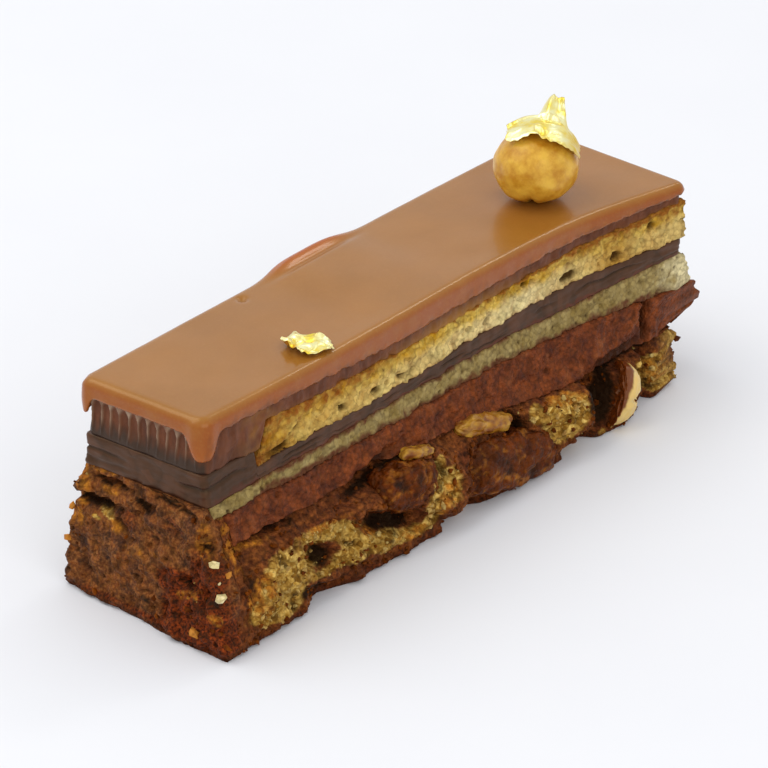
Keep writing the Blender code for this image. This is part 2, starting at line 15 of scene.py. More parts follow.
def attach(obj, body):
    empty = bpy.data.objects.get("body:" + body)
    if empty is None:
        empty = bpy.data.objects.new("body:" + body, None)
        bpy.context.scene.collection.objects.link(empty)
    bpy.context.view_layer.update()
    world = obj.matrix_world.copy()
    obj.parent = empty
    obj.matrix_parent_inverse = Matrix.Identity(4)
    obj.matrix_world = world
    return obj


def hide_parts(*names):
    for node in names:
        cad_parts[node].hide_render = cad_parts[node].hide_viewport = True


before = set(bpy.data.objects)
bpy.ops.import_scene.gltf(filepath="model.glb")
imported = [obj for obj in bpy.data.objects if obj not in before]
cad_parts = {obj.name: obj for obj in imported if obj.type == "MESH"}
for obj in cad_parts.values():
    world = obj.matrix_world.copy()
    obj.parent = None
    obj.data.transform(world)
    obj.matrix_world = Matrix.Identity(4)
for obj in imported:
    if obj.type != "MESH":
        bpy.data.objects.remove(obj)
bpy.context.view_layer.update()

MM = 0.001


# %% [markdown]
# ## The lines of the bar
# A knife and a pastry frame leave nearly straight lines that wander by a millimetre or two. A spline object
# could draw each one. Here each line is six heights or widths along the bar, joined by cubic pieces that
# keep their slope, because every layer can then ask for its edges at any place as whole arrays.

# %% The lines of the bar
LENGTH, TOP_Z = 120.0, 40.0
FINISHED_END, CUT_END = -LENGTH / 2, LENGTH / 2
STATIONS = LENGTH * np.array((-0.5, -0.3, -0.1, 0.1, 0.3, 0.5))


def along(values):
    """A smooth line through one value at each station: cubic pieces that keep their slope."""
    values = np.asarray(values, float)
    slopes = np.gradient(values, STATIONS)

    def line(x):
        x = np.clip(x, STATIONS[0], STATIONS[-1])
        i = np.clip(np.searchsorted(STATIONS, x) - 1, 0, len(STATIONS) - 2)
        span = STATIONS[i + 1] - STATIONS[i]
        t = (x - STATIONS[i]) / span
        held = (1 + 2 * t) * (1 - t) ** 2 * values[i] + t * t * (3 - 2 * t) * values[i + 1]
        return held + t * (1 - t) ** 2 * span * slopes[i] + t * t * (t - 1) * span * slopes[i + 1]

    return line


front_line = along((-13.9, -13.8, -12.9, -11.9, -12.4, -16.9))
back_line = along((11.9, 12.9, 13.9, 15.0, 15.6, 15.9))
foot_front = along((-20.6, -18.8, -19.0, -17.8, -18.2, -13.8))
foot_back = along((16.4, 17.4, 18.2, 18.8, 19.2, 17.0))
glaze_under = along((37.0, 36.6, 35.5, 35.9, 36.7, 38.2))
sponge_top = along((34.8, 33.8, 33.1, 33.2, 34.5, 36.2))
ganache_top_inner = along((26.3, 27.2, 27.1, 27.7, 28.4, 29.0))
ganache_under = along((24.2, 24.6, 24.8, 24.6, 24.5, 25.8))
lower_sponge_under = along((22.2, 21.7, 21.5, 21.0, 20.4, 18.9))
cremeux_under = along((17.0, 16.6, 15.9, 13.8, 12.0, 11.4))
print("width at the two ends:", *(round(float(back_line(x) - front_line(x)), 1) for x in (-60, 60)), "mm")

# %% [markdown]
# The cut sides lean outwards on the way down, because the soft layers bulge and the cake crumbles. The
# share of the way from the glaze's outline to the foot's is read from one curve of heights.

# %% The swell of the sides
SWELL = (
    (0.0, 1.0), (8.0, 0.96), (13.0, 0.75), (16.0, 0.48),
    (21.0, 0.25), (25.0, 0.11), (29.0, 0.02), (40.0, 0.0),
)
# Where the upper sponge stops, where the cake's rim and shelf step down, and where each end stands.
SPONGE_TIP_X, MOUSSE_END_Z = FINISHED_END + 13.5, 29.8
RIM_X, RIM_SHELF_X = FINISHED_END + 2.0, FINISHED_END + 4.4
CAKE_END_X, BROKEN_END_X, CAKE_CUT_X = FINISHED_END - 1.4, CUT_END + 4.0, CUT_END - 1.0
END_SLANT, CAKE_END_SLANT, LEAN_MIDDLE_Z = 1.7, 1.0, 26.5


def clamp(value):
    """A value kept between 0 and 1."""
    return np.clip(value, 0, 1)


def swell(z):
    heights, shares = zip(*SWELL)
    return np.interp(z, heights, shares)


def front_face(x, z):
    return front_line(x) + (foot_front(x) - front_line(x)) * swell(z)


def back_face(x, z):
    return back_line(x) + (foot_back(x) - back_line(x)) * swell(z)


def step(x, place, before, after, width=0.3):
    """before on the left of a place, after on its right, with a steep ramp between."""
    t = clamp((x - place) / width + 0.5)
    return before + (after - before) * t


def ganache_top(x):
    return step(x, SPONGE_TIP_X - 0.4, MOUSSE_END_Z, ganache_top_inner(x))


def mousse_under(x):
    return step(x, SPONGE_TIP_X + 1.5, MOUSSE_END_Z, sponge_top(x), 1.7)


def cake_top(x):
    """The baked cake's upper side: a rim at the finished end, then two steps down to the cremeux."""
    shelf = step(x, RIM_SHELF_X, lower_sponge_under(x), cremeux_under(x))
    return step(x, RIM_X, ganache_under(x), shelf)


print("the cake's rim at the finished end is", np.round(cake_top(np.array([-59.5])), 1), "mm high")

# %% [markdown]
# ## Torn crumb
# Crumb tears into grains, pores and hollows of many sizes. A displace modifier with a texture could do it,
# but its texture can't follow the listed hollows. Two fields worked out here serve every piece: a smooth
# gradient noise for swellings, and a cell distance for rounded grains and pores.

# %% Noise fields
DIRECTIONS = np.random.default_rng(11).normal(size=(509, 3))
DIRECTIONS /= np.linalg.norm(DIRECTIONS, axis=1)[:, None]
JITTER = np.random.default_rng(12).random((509, 3))
PRIMES, SEED_PRIME = np.array((73856093, 19349663, 83492791)), 7919


def table_row(cell, seed, table):
    """The row of a random table that belongs to each lattice cell."""
    key = cell @ PRIMES + seed * SEED_PRIME
    return table[(key ^ (key >> 9)) % len(table)]


def unit_noise(points, seed):
    """Gradient noise of about -1 to 1: each corner of a cubic lattice has a direction, and a point blends
    the slopes of the eight corners round it with a smooth ramp."""
    cell = np.floor(points).astype(np.int64)
    rest = points - cell
    ramp = rest**3 * (rest * (rest * 6 - 15) + 10)
    total = np.zeros(len(points))
    for corner in np.ndindex(2, 2, 2):
        direction = table_row(cell + corner, seed, DIRECTIONS)
        weight = np.where(corner, ramp, 1 - ramp).prod(1)
        total += weight * (direction * (rest - corner)).sum(1)
    return total * 1.7


def wander(points, size, seed, octaves=3):
    """Noise with grains of the given size in millimetres, and finer grains of half the strength on them."""
    return sum(unit_noise(np.asarray(points) / size * 2**k, seed + k) / 2**k for k in range(octaves))


def cell_distance(points, size, seed):
    """Distance to the nearest of points that are scattered one to a cube, as a share of the cube's side."""
    cell = np.floor(points / size).astype(np.int64)
    rest = points / size - cell
    nearest = np.full(len(points), 9.0)
    for corner in np.ndindex(3, 3, 3):
        offset = np.array(corner) - 1
        place = offset + table_row(cell + offset, seed, JITTER) - rest
        nearest = np.minimum(nearest, (place**2).sum(1))
    return np.sqrt(nearest)


def grains(points, size, seed):
    """Rounded grains: a half ball over each scattered point, 1 at its middle and 0 between grains."""
    return np.sqrt(np.maximum(0, 1 - (cell_distance(points, size, seed) / 0.85) ** 2))


def pores(points, size, seed, radius):
    """Small round holes: 1 in the middle of a hole, 0 outside its radius, both as shares of the spacing."""
    return clamp(1.6 * (1 - cell_distance(points, size, seed) / radius))


def bell(value, middle, half, power=2):
    """1 at the middle, falling off softly on both sides; a higher power gives it a flat top."""
    return np.exp(-(((value - middle) / half) ** power))


sample = np.random.default_rng(1).random((2000, 3)) * 40
print("noise runs from", *np.round(np.percentile(wander(sample, 4, 1), (2, 98)), 2))

# %% [markdown]
# ## Hollows and swellings
# The cut long face shows crevices, caves and lumps in fixed places. Each is a soft-edged ellipse on the
# face: its middle, its half sizes, how far it stands out, and its slope. A list of them reads like a
# sculptor's notes.

# %% Hollows and swellings
FRONT_FEATURES = (
    (-47.5, 16.3, 7.0, 0.8, -2.4, -0.08),
    (-37.4, 8.4, 2.9, 2.3, -4.2, -0.4),
    (-36.0, 1.2, 4.4, 1.8, -2.2, 0.1),
    (-19.3, 7.2, 7.4, 2.0, -4.8, -0.34),
    (-22.5, 15.4, 7.5, 1.4, -4.2, 0.19),
    (-1.6, 0.8, 5.0, 2.2, -3.0, 0.0),
    (13.4, 10.2, 1.9, 2.0, -5.0, 0.0),
    (29.6, 0.8, 4.2, 2.8, -5.2, 0.0),
    (36.0, 9.2, 3.5, 6.2, -7.6, 0.0),
    (42.0, 12.2, 6.5, 1.5, -4.5, 0.0),
    (49.8, 5.0, 1.7, 9.0, -5.0, 0.0),
    (-46.0, 12.6, 8.0, 2.2, 0.9, 0.1),
    (-28.0, 11.4, 6.0, 1.8, 1.0, -0.1),
    (-5.8, 7.8, 4.2, 4.6, 1.5, 0.0),
    (25.4, 8.2, 7.4, 4.4, 1.2, 0.0),
    (55.8, 4.0, 3.2, 4.0, 0.8, 0.0),
)
BACK_FEATURES = (
    (-44.0, 5.0, 6.0, 2.4, -3.4, 0.1),
    (-26.0, 11.5, 5.0, 1.6, -2.8, 0.1),
    (3.0, 4.6, 6.0, 2.2, -4.0, -0.2),
    (25.5, 10.5, 2.6, 2.4, -3.8, 0.0),
    (46.0, 5.4, 3.6, 4.6, -4.6, 0.0),
    (-32.0, 5.0, 4.6, 3.6, 1.2, 0.0),
    (-3.0, 10.0, 5.0, 3.0, 1.1, 0.0),
    (34.0, 5.6, 5.0, 5.0, 1.3, 0.0),
)
END_FEATURES = (
    (5.4, 23.0, 3.4, 0.7, -2.6, 0.0),
    (8.6, 18.4, 5.2, 1.0, -2.4, -0.05),
    (-2.4, 21.3, 1.7, 1.1, -2.0, 0.0),
    (-11.6, 10.8, 2.2, 0.6, -1.6, 0.1),
    (-16.8, 19.0, 1.6, 0.8, -1.6, 0.0),
    (-8.8, 24.0, 4.4, 0.5, -1.2, 0.1),
    (3.0, 16.2, 1.2, 1.2, -1.0, 0.0),
    (13.6, 20.6, 2.4, 2.0, 0.9, 0.0),
    (2.0, 11.0, 7.0, 4.0, 0.5, 0.0),
    (-14.5, 5.0, 4.0, 4.0, 0.6, 0.0),
    (-9.5, 1.0, 6.5, 2.2, 0.7, 0.0),
)
CREMEUX_FEATURES = (
    (50.6, 17.0, 0.9, 4.4, -3.0, 0.0),
    (42.0, 12.6, 7.0, 1.3, -1.8, 0.0),
    (-22.0, 16.4, 7.5, 1.0, -1.6, 0.19),
)
# Where each finish shows. The front's places are read along the line of sight of someone who looks at the
# bar's front corner: a point behind the foot's plane is first brought forward to it, so that a colour stays
# on the lump or in the hollow that it belongs to. The back's are plain places on the face.
FOOT_Y, SIGHT_X, SIGHT_Z = -19.0, 1.129, 0.803
END_PLANE_X, SIGHT_END_Y, SIGHT_END_Z = -61.0, 0.886, 0.712
FRONT_CRUMB = (
    (-45.5, 8.4, 6.6, 5.2, 1.0, -0.1),
    (-51.0, 4.4, 4.2, 2.4, 0.9, 0.0),
    (-47.0, 1.9, 4.4, 1.3, 0.9, 0.0),
    (-35.0, 12.0, 7.0, 1.8, 1.0, -0.28),
    (-30.6, 8.8, 3.0, 1.5, 0.9, -0.4),
    (-28.6, 5.8, 6.4, 2.5, 1.0, -0.1),
    (-36.8, 5.2, 3.0, 0.8, 0.9, 0.0),
    (-22.0, 4.8, 2.6, 2.2, 1.0, 0.0),
    (-16.4, 3.6, 5.2, 1.5, 1.0, -0.1),
    (-10.2, 5.0, 2.0, 2.4, 1.0, 0.0),
    (-6.3, 8.4, 3.7, 4.4, 1.0, -0.35),
    (-8.8, 13.8, 1.6, 1.3, 0.8, 0.0),
    (24.4, 8.8, 7.0, 4.8, 1.0, -0.15),
    (16.4, 12.8, 1.8, 2.0, 0.9, -0.3),
    (34.2, 1.6, 1.5, 1.0, 0.9, 0.0),
    # At the far foot, near x = 50, this pale zone and the next are partly painted light on a place that
    # faces away from the lamps.
    (50.0, 7.0, 5.4, 3.4, 1.8, -0.5),
    (47.6, 9.8, 2.6, 1.6, 1.0, 0.0),
    (-60.6, 27.2, 1.8, 2.0, 1.0, 0.0),
)
FRONT_GOLD = (
    (-51.5, 7.0, 3.4, 4.4, 0.9, -0.3),
    (-37.0, 13.7, 8.0, 0.9, 0.8, -0.10),
    (-15.0, 3.2, 4.6, 1.2, 0.8, -0.1),
    (-6.2, 6.2, 3.4, 3.0, 0.8, 0.0),
    (-26.0, 8.4, 2.6, 1.6, 0.7, -0.3),
    (24.5, 12.4, 6.0, 1.6, 0.9, -0.3),
    # At the far foot, near x = 50, this golden zone and the last one are partly painted light on a place
    # that faces away from the lamps.
    (51.5, 6.0, 3.6, 1.8, 1.0, -0.5),
    (-57.5, 15.2, 1.2, 1.4, 0.9, 0.0),
    (-58.6, 19.0, 2.6, 2.6, 0.9, 0.0),
    (-59.0, 24.0, 2.4, 3.2, 0.9, 0.0),
    (-52.5, 17.6, 4.6, 0.9, 0.75, -0.1),
    (-50.0, 7.6, 1.6, 3.0, 0.9, 0.0),
    (50.0, 7.8, 4.6, 3.2, 0.75, -0.4),
)
# Painted shade in the front's caves and crevices.
FRONT_SHADE = (
    (-38.6, 9.0, 2.8, 2.3, 0.95, -0.5),
    (-40.2, 3.3, 3.0, 1.1, 0.8, 0.0),
    (-54.4, 10.4, 2.3, 2.6, 0.55, 0.0),
    (-59.2, 6.4, 1.6, 2.4, 0.5, 0.0),
    (-22.0, 8.6, 5.6, 1.9, 1.2, -0.35),
    (-25.0, 18.5, 8.0, 1.4, 1.3, 0.14),
    (-51.5, 19.8, 5.8, 0.6, 1.2, -0.08),
    (-45.6, 18.2, 1.2, 0.8, 0.8, 0.0),
    (10.9, 12.2, 2.0, 2.3, 1.4, 0.0),
    (19.4, 6.4, 1.4, 2.0, 0.8, -0.7),
    (34.0, 9.4, 3.6, 6.0, 1.2, 0.0),
    (39.0, 15.9, 7.0, 1.2, 1.2, 0.06),
    (46.0, 15.4, 2.2, 1.2, 0.9, 0.0),
    (46.0, 7.4, 1.2, 0.8, 0.8, 0.0),
)
BACK_CRUMB = (
    (-42.0, 10.0, 8.0, 3.0, 1.0, 0.1),
    (-33.0, 4.6, 7.0, 3.4, 1.0, 0.1),
    (-2.0, 8.0, 6.0, 5.0, 1.0, 0.0),
    (6.0, 2.0, 5.0, 1.6, 0.9, 0.0),
    (33.0, 6.0, 8.0, 5.0, 1.0, 0.0),
    (54.0, 6.0, 4.0, 4.0, 0.9, 0.0),
)
# On the finished end, read in the same way: (across, up, half width, half height, amount, slope).
END_GOLD = (
    (8.6, 24.9, 4.6, 1.0, 0.9, 0.0), (11.8, 21.6, 2.2, 3.2, 0.9, 0.0), (5.4, 21.5, 2.2, 1.1, 0.9, 0.0),
    (13.2, 13.6, 1.8, 2.0, 1.0, 0.0), (11.5, 16.9, 2.0, 0.8, 0.8, 0.0), (4.2, 15.2, 2.4, 1.4, 0.9, 0.0),
    (-15.8, 19.4, 2.6, 3.6, 1.0, 0.0), (-17.4, 24.6, 1.6, 1.6, 0.9, 0.0), (-12.3, 8.9, 1.6, 0.9, 0.9, 0.0),
    (-10.2, 8.2, 1.2, 0.9, 0.8, 0.0), (0.4, 12.2, 2.6, 1.4, 0.6, 0.0), (-5.0, 13.4, 2.0, 1.0, 0.55, 0.0),
    (-17.5, 6.5, 2.0, 1.2, 0.8, 0.0),
)
END_PALE = (
    (6.2, 17.2, 1.6, 1.1, 1.2, 0.3), (8.8, 15.3, 1.2, 0.5, 0.9, 0.0), (-18.4, 26.0, 1.6, 1.8, 1.0, 0.0),
)
END_MOIST = (
    (-14.5, 4.5, 9.0, 7.0, 1.4, 0.0), (-9.0, 10.2, 5.0, 2.4, 0.9, 0.0), (-16.5, 14.0, 4.4, 6.0, 1.0, 0.0),
    (5.0, 0.8, 12.0, 1.2, 0.9, 0.0), (-8.0, 20.0, 3.5, 2.0, 0.6, 0.0), (1.5, 17.5, 2.0, 2.5, 0.7, 0.0),
)
# Painted shade in the end's slits, hollows and pits.
END_SHADE = (
    (5.4, 23.0, 3.2, 0.6, 1.3, 0.0), (8.6, 18.5, 5.4, 1.0, 1.1, -0.05), (-2.4, 21.3, 1.7, 0.7, 1.2, 0.35),
    (-8.8, 24.1, 4.4, 0.45, 1.3, 0.1), (-11.6, 10.8, 2.0, 0.55, 1.2, 0.1), (-16.8, 19.0, 1.6, 0.8, 1.2, 0.0),
    (-1.2, 22.8, 3.4, 1.2, 0.62, 0.2), (3.2, 16.3, 1.2, 1.3, 0.7, 0.0), (-17.0, 9.2, 2.2, 0.9, 0.8, 0.0),
    (-1.8, 4.2, 1.6, 0.9, 0.7, 0.0), (9.4, 3.2, 2.0, 0.9, 0.6, 0.0), (-4.6, 16.4, 1.4, 0.6, 0.7, 0.0),
    (-9.0, 3.6, 1.8, 1.0, 0.7, 0.0), (4.6, 8.0, 1.2, 0.8, 0.6, 0.0), (11.0, 6.4, 1.4, 1.0, 0.6, 0.0),
)


def seen(points):
    """Where points show on the foot's plane, for someone who looks at the bar's front corner."""
    behind = points[:, 1] - FOOT_Y
    return points[:, 0] - SIGHT_X * behind, points[:, 2] + SIGHT_Z * behind


def seen_end(points):
    """Where points show on the end face's plane, for the same onlooker: (across, up)."""
    behind = points[:, 0] - END_PLANE_X
    return points[:, 1] - SIGHT_END_Y * behind, points[:, 2] + SIGHT_END_Z * behind


def features(list_of_features, x, z):
    """The sum of soft-edged ellipses at each place of a face."""
    total = np.zeros(np.shape(x))
    for fx, fz, half_x, half_z, out, slope in list_of_features:
        reach = ((x - fx) / half_x) ** 2 + ((z - fz - slope * (x - fx)) / half_z) ** 2
        total = total + out * np.exp(-(reach**2) * 0.7)
    return total


print("placed forms on the long faces:", len(FRONT_FEATURES) + len(BACK_FEATURES) + len(CREMEUX_FEATURES))

# %% [markdown]
# ## From arrays to a mesh
# Every piece ends as points in millimetres and faces. One function puts them into a mesh, gives the mesh
# its named values for the materials, and fits the piece to the frame: what it rides on, which plain solid
# it stands for, and which finish it takes.

# %% Make a piece
def make_piece(name, points, faces, material, nodes, values):
    """A mesh object from points in millimetres, set in the frame. nodes are the plain solids that it stands
    for, and each of the values holds one number for each point."""
    mesh = bpy.data.meshes.new(name)
    mesh.from_pydata((np.asarray(points) * MM).tolist(), [], faces)
    mesh.shade_smooth()
    for key, numbers in values.items():
        mesh.attributes.new(key, "FLOAT", "POINT").data.foreach_set("value", np.asarray(numbers, np.float32))
    mesh.materials.append(material)
    piece = bpy.data.objects.new(name, mesh)
    bpy.context.scene.collection.objects.link(piece)
    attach(piece, "root")
    if nodes:
        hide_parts(*nodes)
    mesh.calc_loop_triangles()
    print(name, "triangles:", len(mesh.loop_triangles), "size in mm:", np.round(np.ptp(points, axis=0), 1))
    return piece


# %% [markdown]
# A layer of the bar is a closed box whose sides are fine enough to carry crumb. Rings of points run round
# its four sides, one above the other, and its hidden upper and under sides are ruled from the front ring to
# the back ring. The glaze's upper side shows, so it can ask for a full grid there instead.

# %% A layer of the bar
def rounding(radius, reach):
    """How far a rounded corner falls back from the square one, at a distance from the other side."""
    return radius - np.sqrt(np.maximum(radius**2 - np.maximum(radius - reach, 0) ** 2, 0))


def half_way(reach, radius):
    """Moves the points near a corner on, so that each side stops half way round the corner's arc."""
    half = radius * (1 - math.sqrt(0.5))
    return np.where(reach < radius, half + reach * (radius - half) / max(radius, 1e-9), reach)


def between(share):
    return lambda low, high, u, v: low + share * (high - low)


def plain_levels(count, edge=0.12):
    """Evenly spaced rings whose first and last are pulled in by a small rounded edge."""
    shares = np.linspace(0, 1, count)
    inset = edge * clamp(1 - np.minimum(shares, 1 - shares) * (count - 1) / 1.5) ** 2
    return [(inset[k], between(shares[k])) for k in range(count)]


def columns(count, *extra):
    """Places along the bar as shares of its length, with extra ones where a step needs them."""
    even = np.linspace(0, 1, count + 1)
    added = [(x - FINISHED_END) / LENGTH for x in extra]
    kept = [u for u in even if all(abs(u - a) > 0.35 / count for a in added) or u in (0, 1)]
    return np.array(sorted(kept + added))


def seam(points, seed):
    """How far the line between two layers wanders up or down: slow waves with short, ragged ones on them. It
    reads only the place in plan, so the layers above and below a seam share it and stay closed."""
    plan = points * (1.0, 0.6, 0.0) + (0.0, 0.0, seed)
    wave = 0.32 * wander(plan, 6.0, seed, 2) + 0.22 * wander(plan, 1.7, seed + 5, 2)
    return wave * np.clip((points[:, 0] - FINISHED_END - 1.0) / 8.0, 0.1, 1)


def pushed(place, low, high, amount):
    """Moves places away from whichever of two limits is nearer."""
    return np.where(place - low < high - place, place + amount, place - amount)


def corner_depth(place, low, high, corner):
    """How far places lie inside the square of a corner, with the sign of the limit that is nearer."""
    side = np.where(place - low < high - place, -1, 1)
    return np.maximum(corner - np.minimum(place - low, high - place), 0) * side


def ring_quads(rings, count):
    """Four-sided faces between rings of points, one above the other, with the same count in each."""
    start = np.arange(rings - 1)[:, None] * count
    i, j = np.arange(count)[None], (np.arange(count)[None] + 1) % count
    quads = np.stack([start + i, start + j, start + j + count, start + i + count], -1)
    return quads.reshape(-1, 4).tolist()


def layer(
    shape, levels, u, across, relief, corner=0.0, end_inset=1.0, far_margin=0.6, top_grid=False, seams=(0, 0)
):
    """Points, faces and places (u along, v across, w up) of one layer of the bar. Each level is a distance
    inwards and a rule for the ring's height; seams are the seeds of its lower and upper line, 0 for none."""
    z = np.array((0.0, 0.5 * TOP_Z, TOP_Z))
    first = max(shape["near"](v_end, z).max() for v_end in (0, 1)) + 0.6
    last = min(shape["far"](v_end, z).min() for v_end in (0, 1)) - far_margin
    place = FINISHED_END + LENGTH * u
    u = np.concatenate([[0.0], u[(place > first) & (place < last)], [1.0]])
    n, m = len(u) - 1, across
    v = np.linspace(0, 1, m + 1)
    ring_u = np.concatenate([u, np.ones(m - 1), u[::-1], np.zeros(m - 1)])
    ring_v = np.concatenate([np.zeros(n + 1), v[1:-1], np.ones(n + 1), v[-2:0:-1]])
    out_x = np.where(ring_u == 1, 1.0, np.where(ring_u == 0, -1.0, 0.0))
    out_y = np.where(ring_v == 1, 1.0, np.where(ring_v == 0, -1.0, 0.0))
    out = np.stack([out_x, out_y, 0 * out_x], 1) / np.hypot(out_x, out_y)[:, None]
    on_end, on_side = (ring_u == 0) | (ring_u == 1), (ring_v == 0) | (ring_v == 1)
    nominal = FINISHED_END + LENGTH * ring_u
    rings, outs = [], []
    rounded = corner > max(inset for inset, _ in levels)
    for inset, height in levels:
        z = height(shape["under"](nominal), shape["over"](nominal), ring_u, ring_v)
        near, far = shape["near"](ring_v, z), shape["far"](ring_v, z)
        x = np.where(ring_u == 0, near, np.where(ring_u == 1, far, nominal))
        z = height(shape["under"](x), shape["over"](x), ring_u, ring_v)
        front, back = shape["front"](x, z), shape["back"](x, z)
        y = front + (back - front) * ring_v
        reach_x, reach_y = np.minimum(x - near, far - x), np.minimum(y - front, back - y)
        eased_x, eased_y = half_way(reach_x, corner), half_way(reach_y, corner)
        slide_x = np.where(on_side & ~on_end, eased_x - reach_x, 0)
        slide_y = np.where(on_end & ~on_side, eased_y - reach_y, 0)
        x = pushed(x, near, far, np.where(on_end, rounding(corner, eased_y), 0) + slide_x)
        y = pushed(y, front, back, np.where(on_side, rounding(corner, eased_x), 0) + slide_y)
        if rounded:
            arc_x, arc_y = corner_depth(x, near, far, corner), corner_depth(y, front, back, corner)
            outs.append(np.stack([arc_x, arc_y, 0 * x], 1) / np.hypot(arc_x, arc_y)[:, None])
        else:
            outs.append(out)
        points = np.stack([x, y, z], 1)
        rings.append(points - outs[-1] * inset * np.where(on_end, end_inset, 1.0)[:, None])
    points = np.concatenate(rings)
    count = len(ring_u)
    u_all, v_all = np.tile(ring_u, len(levels)), np.tile(ring_v, len(levels))
    w_all = np.repeat(np.linspace(0, 1, len(levels)), count)
    low, high = (seam(points, seed) if seed else 0.0 for seed in seams)
    points = points + np.concatenate(outs) * relief(points, u_all, v_all, w_all)[:, None]
    points[:, 2] += low * (1 - w_all) + high * w_all

    faces = ring_quads(len(levels), count) + [face[::-1] for face in ruled_cap(0, n, m)]
    top = (len(levels) - 1) * count
    if top_grid:
        ring = points[top:]
        share = v[1:-1, None, None]
        inner = ring[1:n][None] * (1 - share) + ring[2 * n + m - np.arange(1, n)][None] * share
        inside = len(points) + np.arange((n - 1) * (m - 1)).reshape(m - 1, n - 1)
        points = np.concatenate([points, inner.reshape(-1, 3)])
        grid = np.empty((m + 1, n + 1), int)
        grid[1:-1, 1:-1] = inside
        grid[0], grid[-1] = top + np.arange(n + 1), top + 2 * n + m - np.arange(n + 1)
        grid[1:-1, -1] = top + n + np.arange(1, m)
        grid[1:-1, 0] = top + 2 * n + 2 * m - np.arange(1, m)
        corners = (grid[:-1, :-1], grid[:-1, 1:], grid[1:, 1:], grid[1:, :-1])
        faces += np.stack(corners, -1).reshape(-1, 4).tolist()
        extra = np.repeat(v[1:-1], n - 1)
        u_all = np.concatenate([u_all, np.tile(u[1:-1], m - 1)])
        v_all = np.concatenate([v_all, extra])
        w_all = np.concatenate([w_all, np.ones(len(extra))])
    else:
        faces += ruled_cap(top, n, m)
    return points, faces, u_all, v_all, w_all


def ruled_cap(start, n, m):
    """Faces over one ring: a strip from each front edge to the back edge across it, a fan at each end."""
    ring = start + np.arange(2 * n + 2 * m)
    strips = [[ring[i], ring[i + 1], ring[2 * n + m - i - 1], ring[2 * n + m - i]] for i in range(1, n - 1)]
    strips.append([ring[0], ring[1], ring[2 * n + m - 1], *ring[2 * n + m :]])
    strips.append([ring[n - 1], *ring[n : n + m + 1], ring[n + m + 1]])
    return [[int(k) for k in strip] for strip in strips]


def cut_faces(inset):
    """The two long sides of a layer, a little inside the bar's own."""
    return {"front": lambda x, z: front_face(x, z) + inset, "back": lambda x, z: back_face(x, z) - inset}


def ends(near, far, slant=0.0):
    """The two ends: the finished one out of square in plan, or leaning over where a slant is given."""
    turned = 0.0 if slant else END_SLANT
    return {
        "near": lambda v, z: near + slant * (z - LEAN_MIDDLE_Z) - turned * (v - 0.5),
        "far": lambda v, z: far + 0 * z,
    }


# %% [markdown]
# ## Finishes
# Food has no flat colours: crumb is pale at its tips, with shade painted into its pores, and glaze is thin
# at its edges.
# Each material below starts from the real finish. One function turns hex colours into the linear numbers
# that a shader takes, one small function adds a node with its settings and its links, and a few more name
# the steps that every finish takes: a noise, a range, a mix of two colours, a fine relief.

# %% Colour and nodes
def linear(code):
    """An sRGB hex colour as linear red, green, blue and alpha."""
    channels = [int(code[i : i + 2], 16) / 255 for i in (0, 2, 4)]
    return (*(c / 12.92 if c <= 0.04045 else ((c + 0.055) / 1.055) ** 2.4 for c in channels), 1.0)


def add(tree, kind, inputs=None, **settings):
    """Adds one shader node. inputs maps a socket to a value, or to the output that feeds it."""
    node = tree.nodes.new("ShaderNode" + kind)
    for key, value in settings.items():
        setattr(node, key, value)
    for key, value in (inputs or {}).items():
        if isinstance(value, bpy.types.NodeSocket):
            tree.links.new(value, node.inputs[key])
        else:
            node.inputs[key].default_value = value
    return node


def new_material(name, **sockets):
    """A material, its nodes, its Principled shader and each point's place in the object, which every texture
    reads. Sockets are set by name, with _ for a space."""
    material = bpy.data.materials.new(name)
    material.use_nodes = True
    tree = material.node_tree
    shader = tree.nodes["Principled BSDF"]
    for key, value in sockets.items():
        shader.inputs[key.replace("_", " ")].default_value = value
    return material, tree, shader, add(tree, "TexCoord").outputs["Object"]


def per_metre(size_mm):
    """The scale of a texture whose features are this many millimetres apart."""
    return 1.0 / (size_mm * MM)


def noise(tree, place, size_mm, detail, roughness=0.5, distortion=0.0):
    """The output of a noise texture with features of the given size."""
    inputs = {"Vector": place, "Scale": per_metre(size_mm), "Detail": detail}
    return add(tree, "TexNoise", {**inputs, "Roughness": roughness, "Distortion": distortion}).outputs[0]


def ranged(tree, value, low, high, to_low=0.0, to_high=1.0):
    """A value stretched from one range to another, and kept inside it."""
    inputs = {"Value": value, "From Min": low, "From Max": high, "To Min": to_low, "To Max": to_high}
    return add(tree, "MapRange", inputs).outputs[0]


def combine(tree, operation, first, second, **settings):
    """Two values added, multiplied or compared, as the operation says."""
    return add(tree, "Math", {0: first, 1: second}, operation=operation, **settings).outputs[0]


def mesh_value(tree, name):
    """One of the values that were worked out for each point of the mesh."""
    return add(tree, "Attribute", attribute_name=name).outputs["Fac"]


def mix(tree, share, below, above):
    """One colour laid over another by a share. A colour is a hex code or the output of a node."""
    below, above = (linear(colour) if isinstance(colour, str) else colour for colour in (below, above))
    return add(tree, "Mix", {0: share, 6: below, 7: above}, data_type="RGBA").outputs[2]


def finish_with(tree, shader, colour, height, relief_mm, strength):
    """Feeds the shader its colour, and a fine relief from a height."""
    raised = add(tree, "Bump", {"Height": height, "Distance": relief_mm * MM, "Strength": strength})
    tree.links.new(colour, shader.inputs["Base Color"])
    tree.links.new(raised.outputs[0], shader.inputs["Normal"])


print("milk chocolate in linear numbers:", np.round(linear("9A5526")[:3], 3))

# %% [markdown]
# Sponge, ganache, cremeux, the chocolate lumps and the loose crumbs share one recipe, with their own
# colours and grain. A broad noise mixes two body colours, a cell texture paints shade into the gaps between
# grains, and the mesh's own values paint shade into pores and hollows and lay soaked crumb and a pale crumb
# colour over it; on the lower sponge's far tip that pale colour is painted light. The same textures raise a
# fine bump that is too small for the mesh.

# %% Crumb finish
FRESH_AND_LIT_CRUMB, WARM_SHINE = "F2E4B4", "FFE0B0"


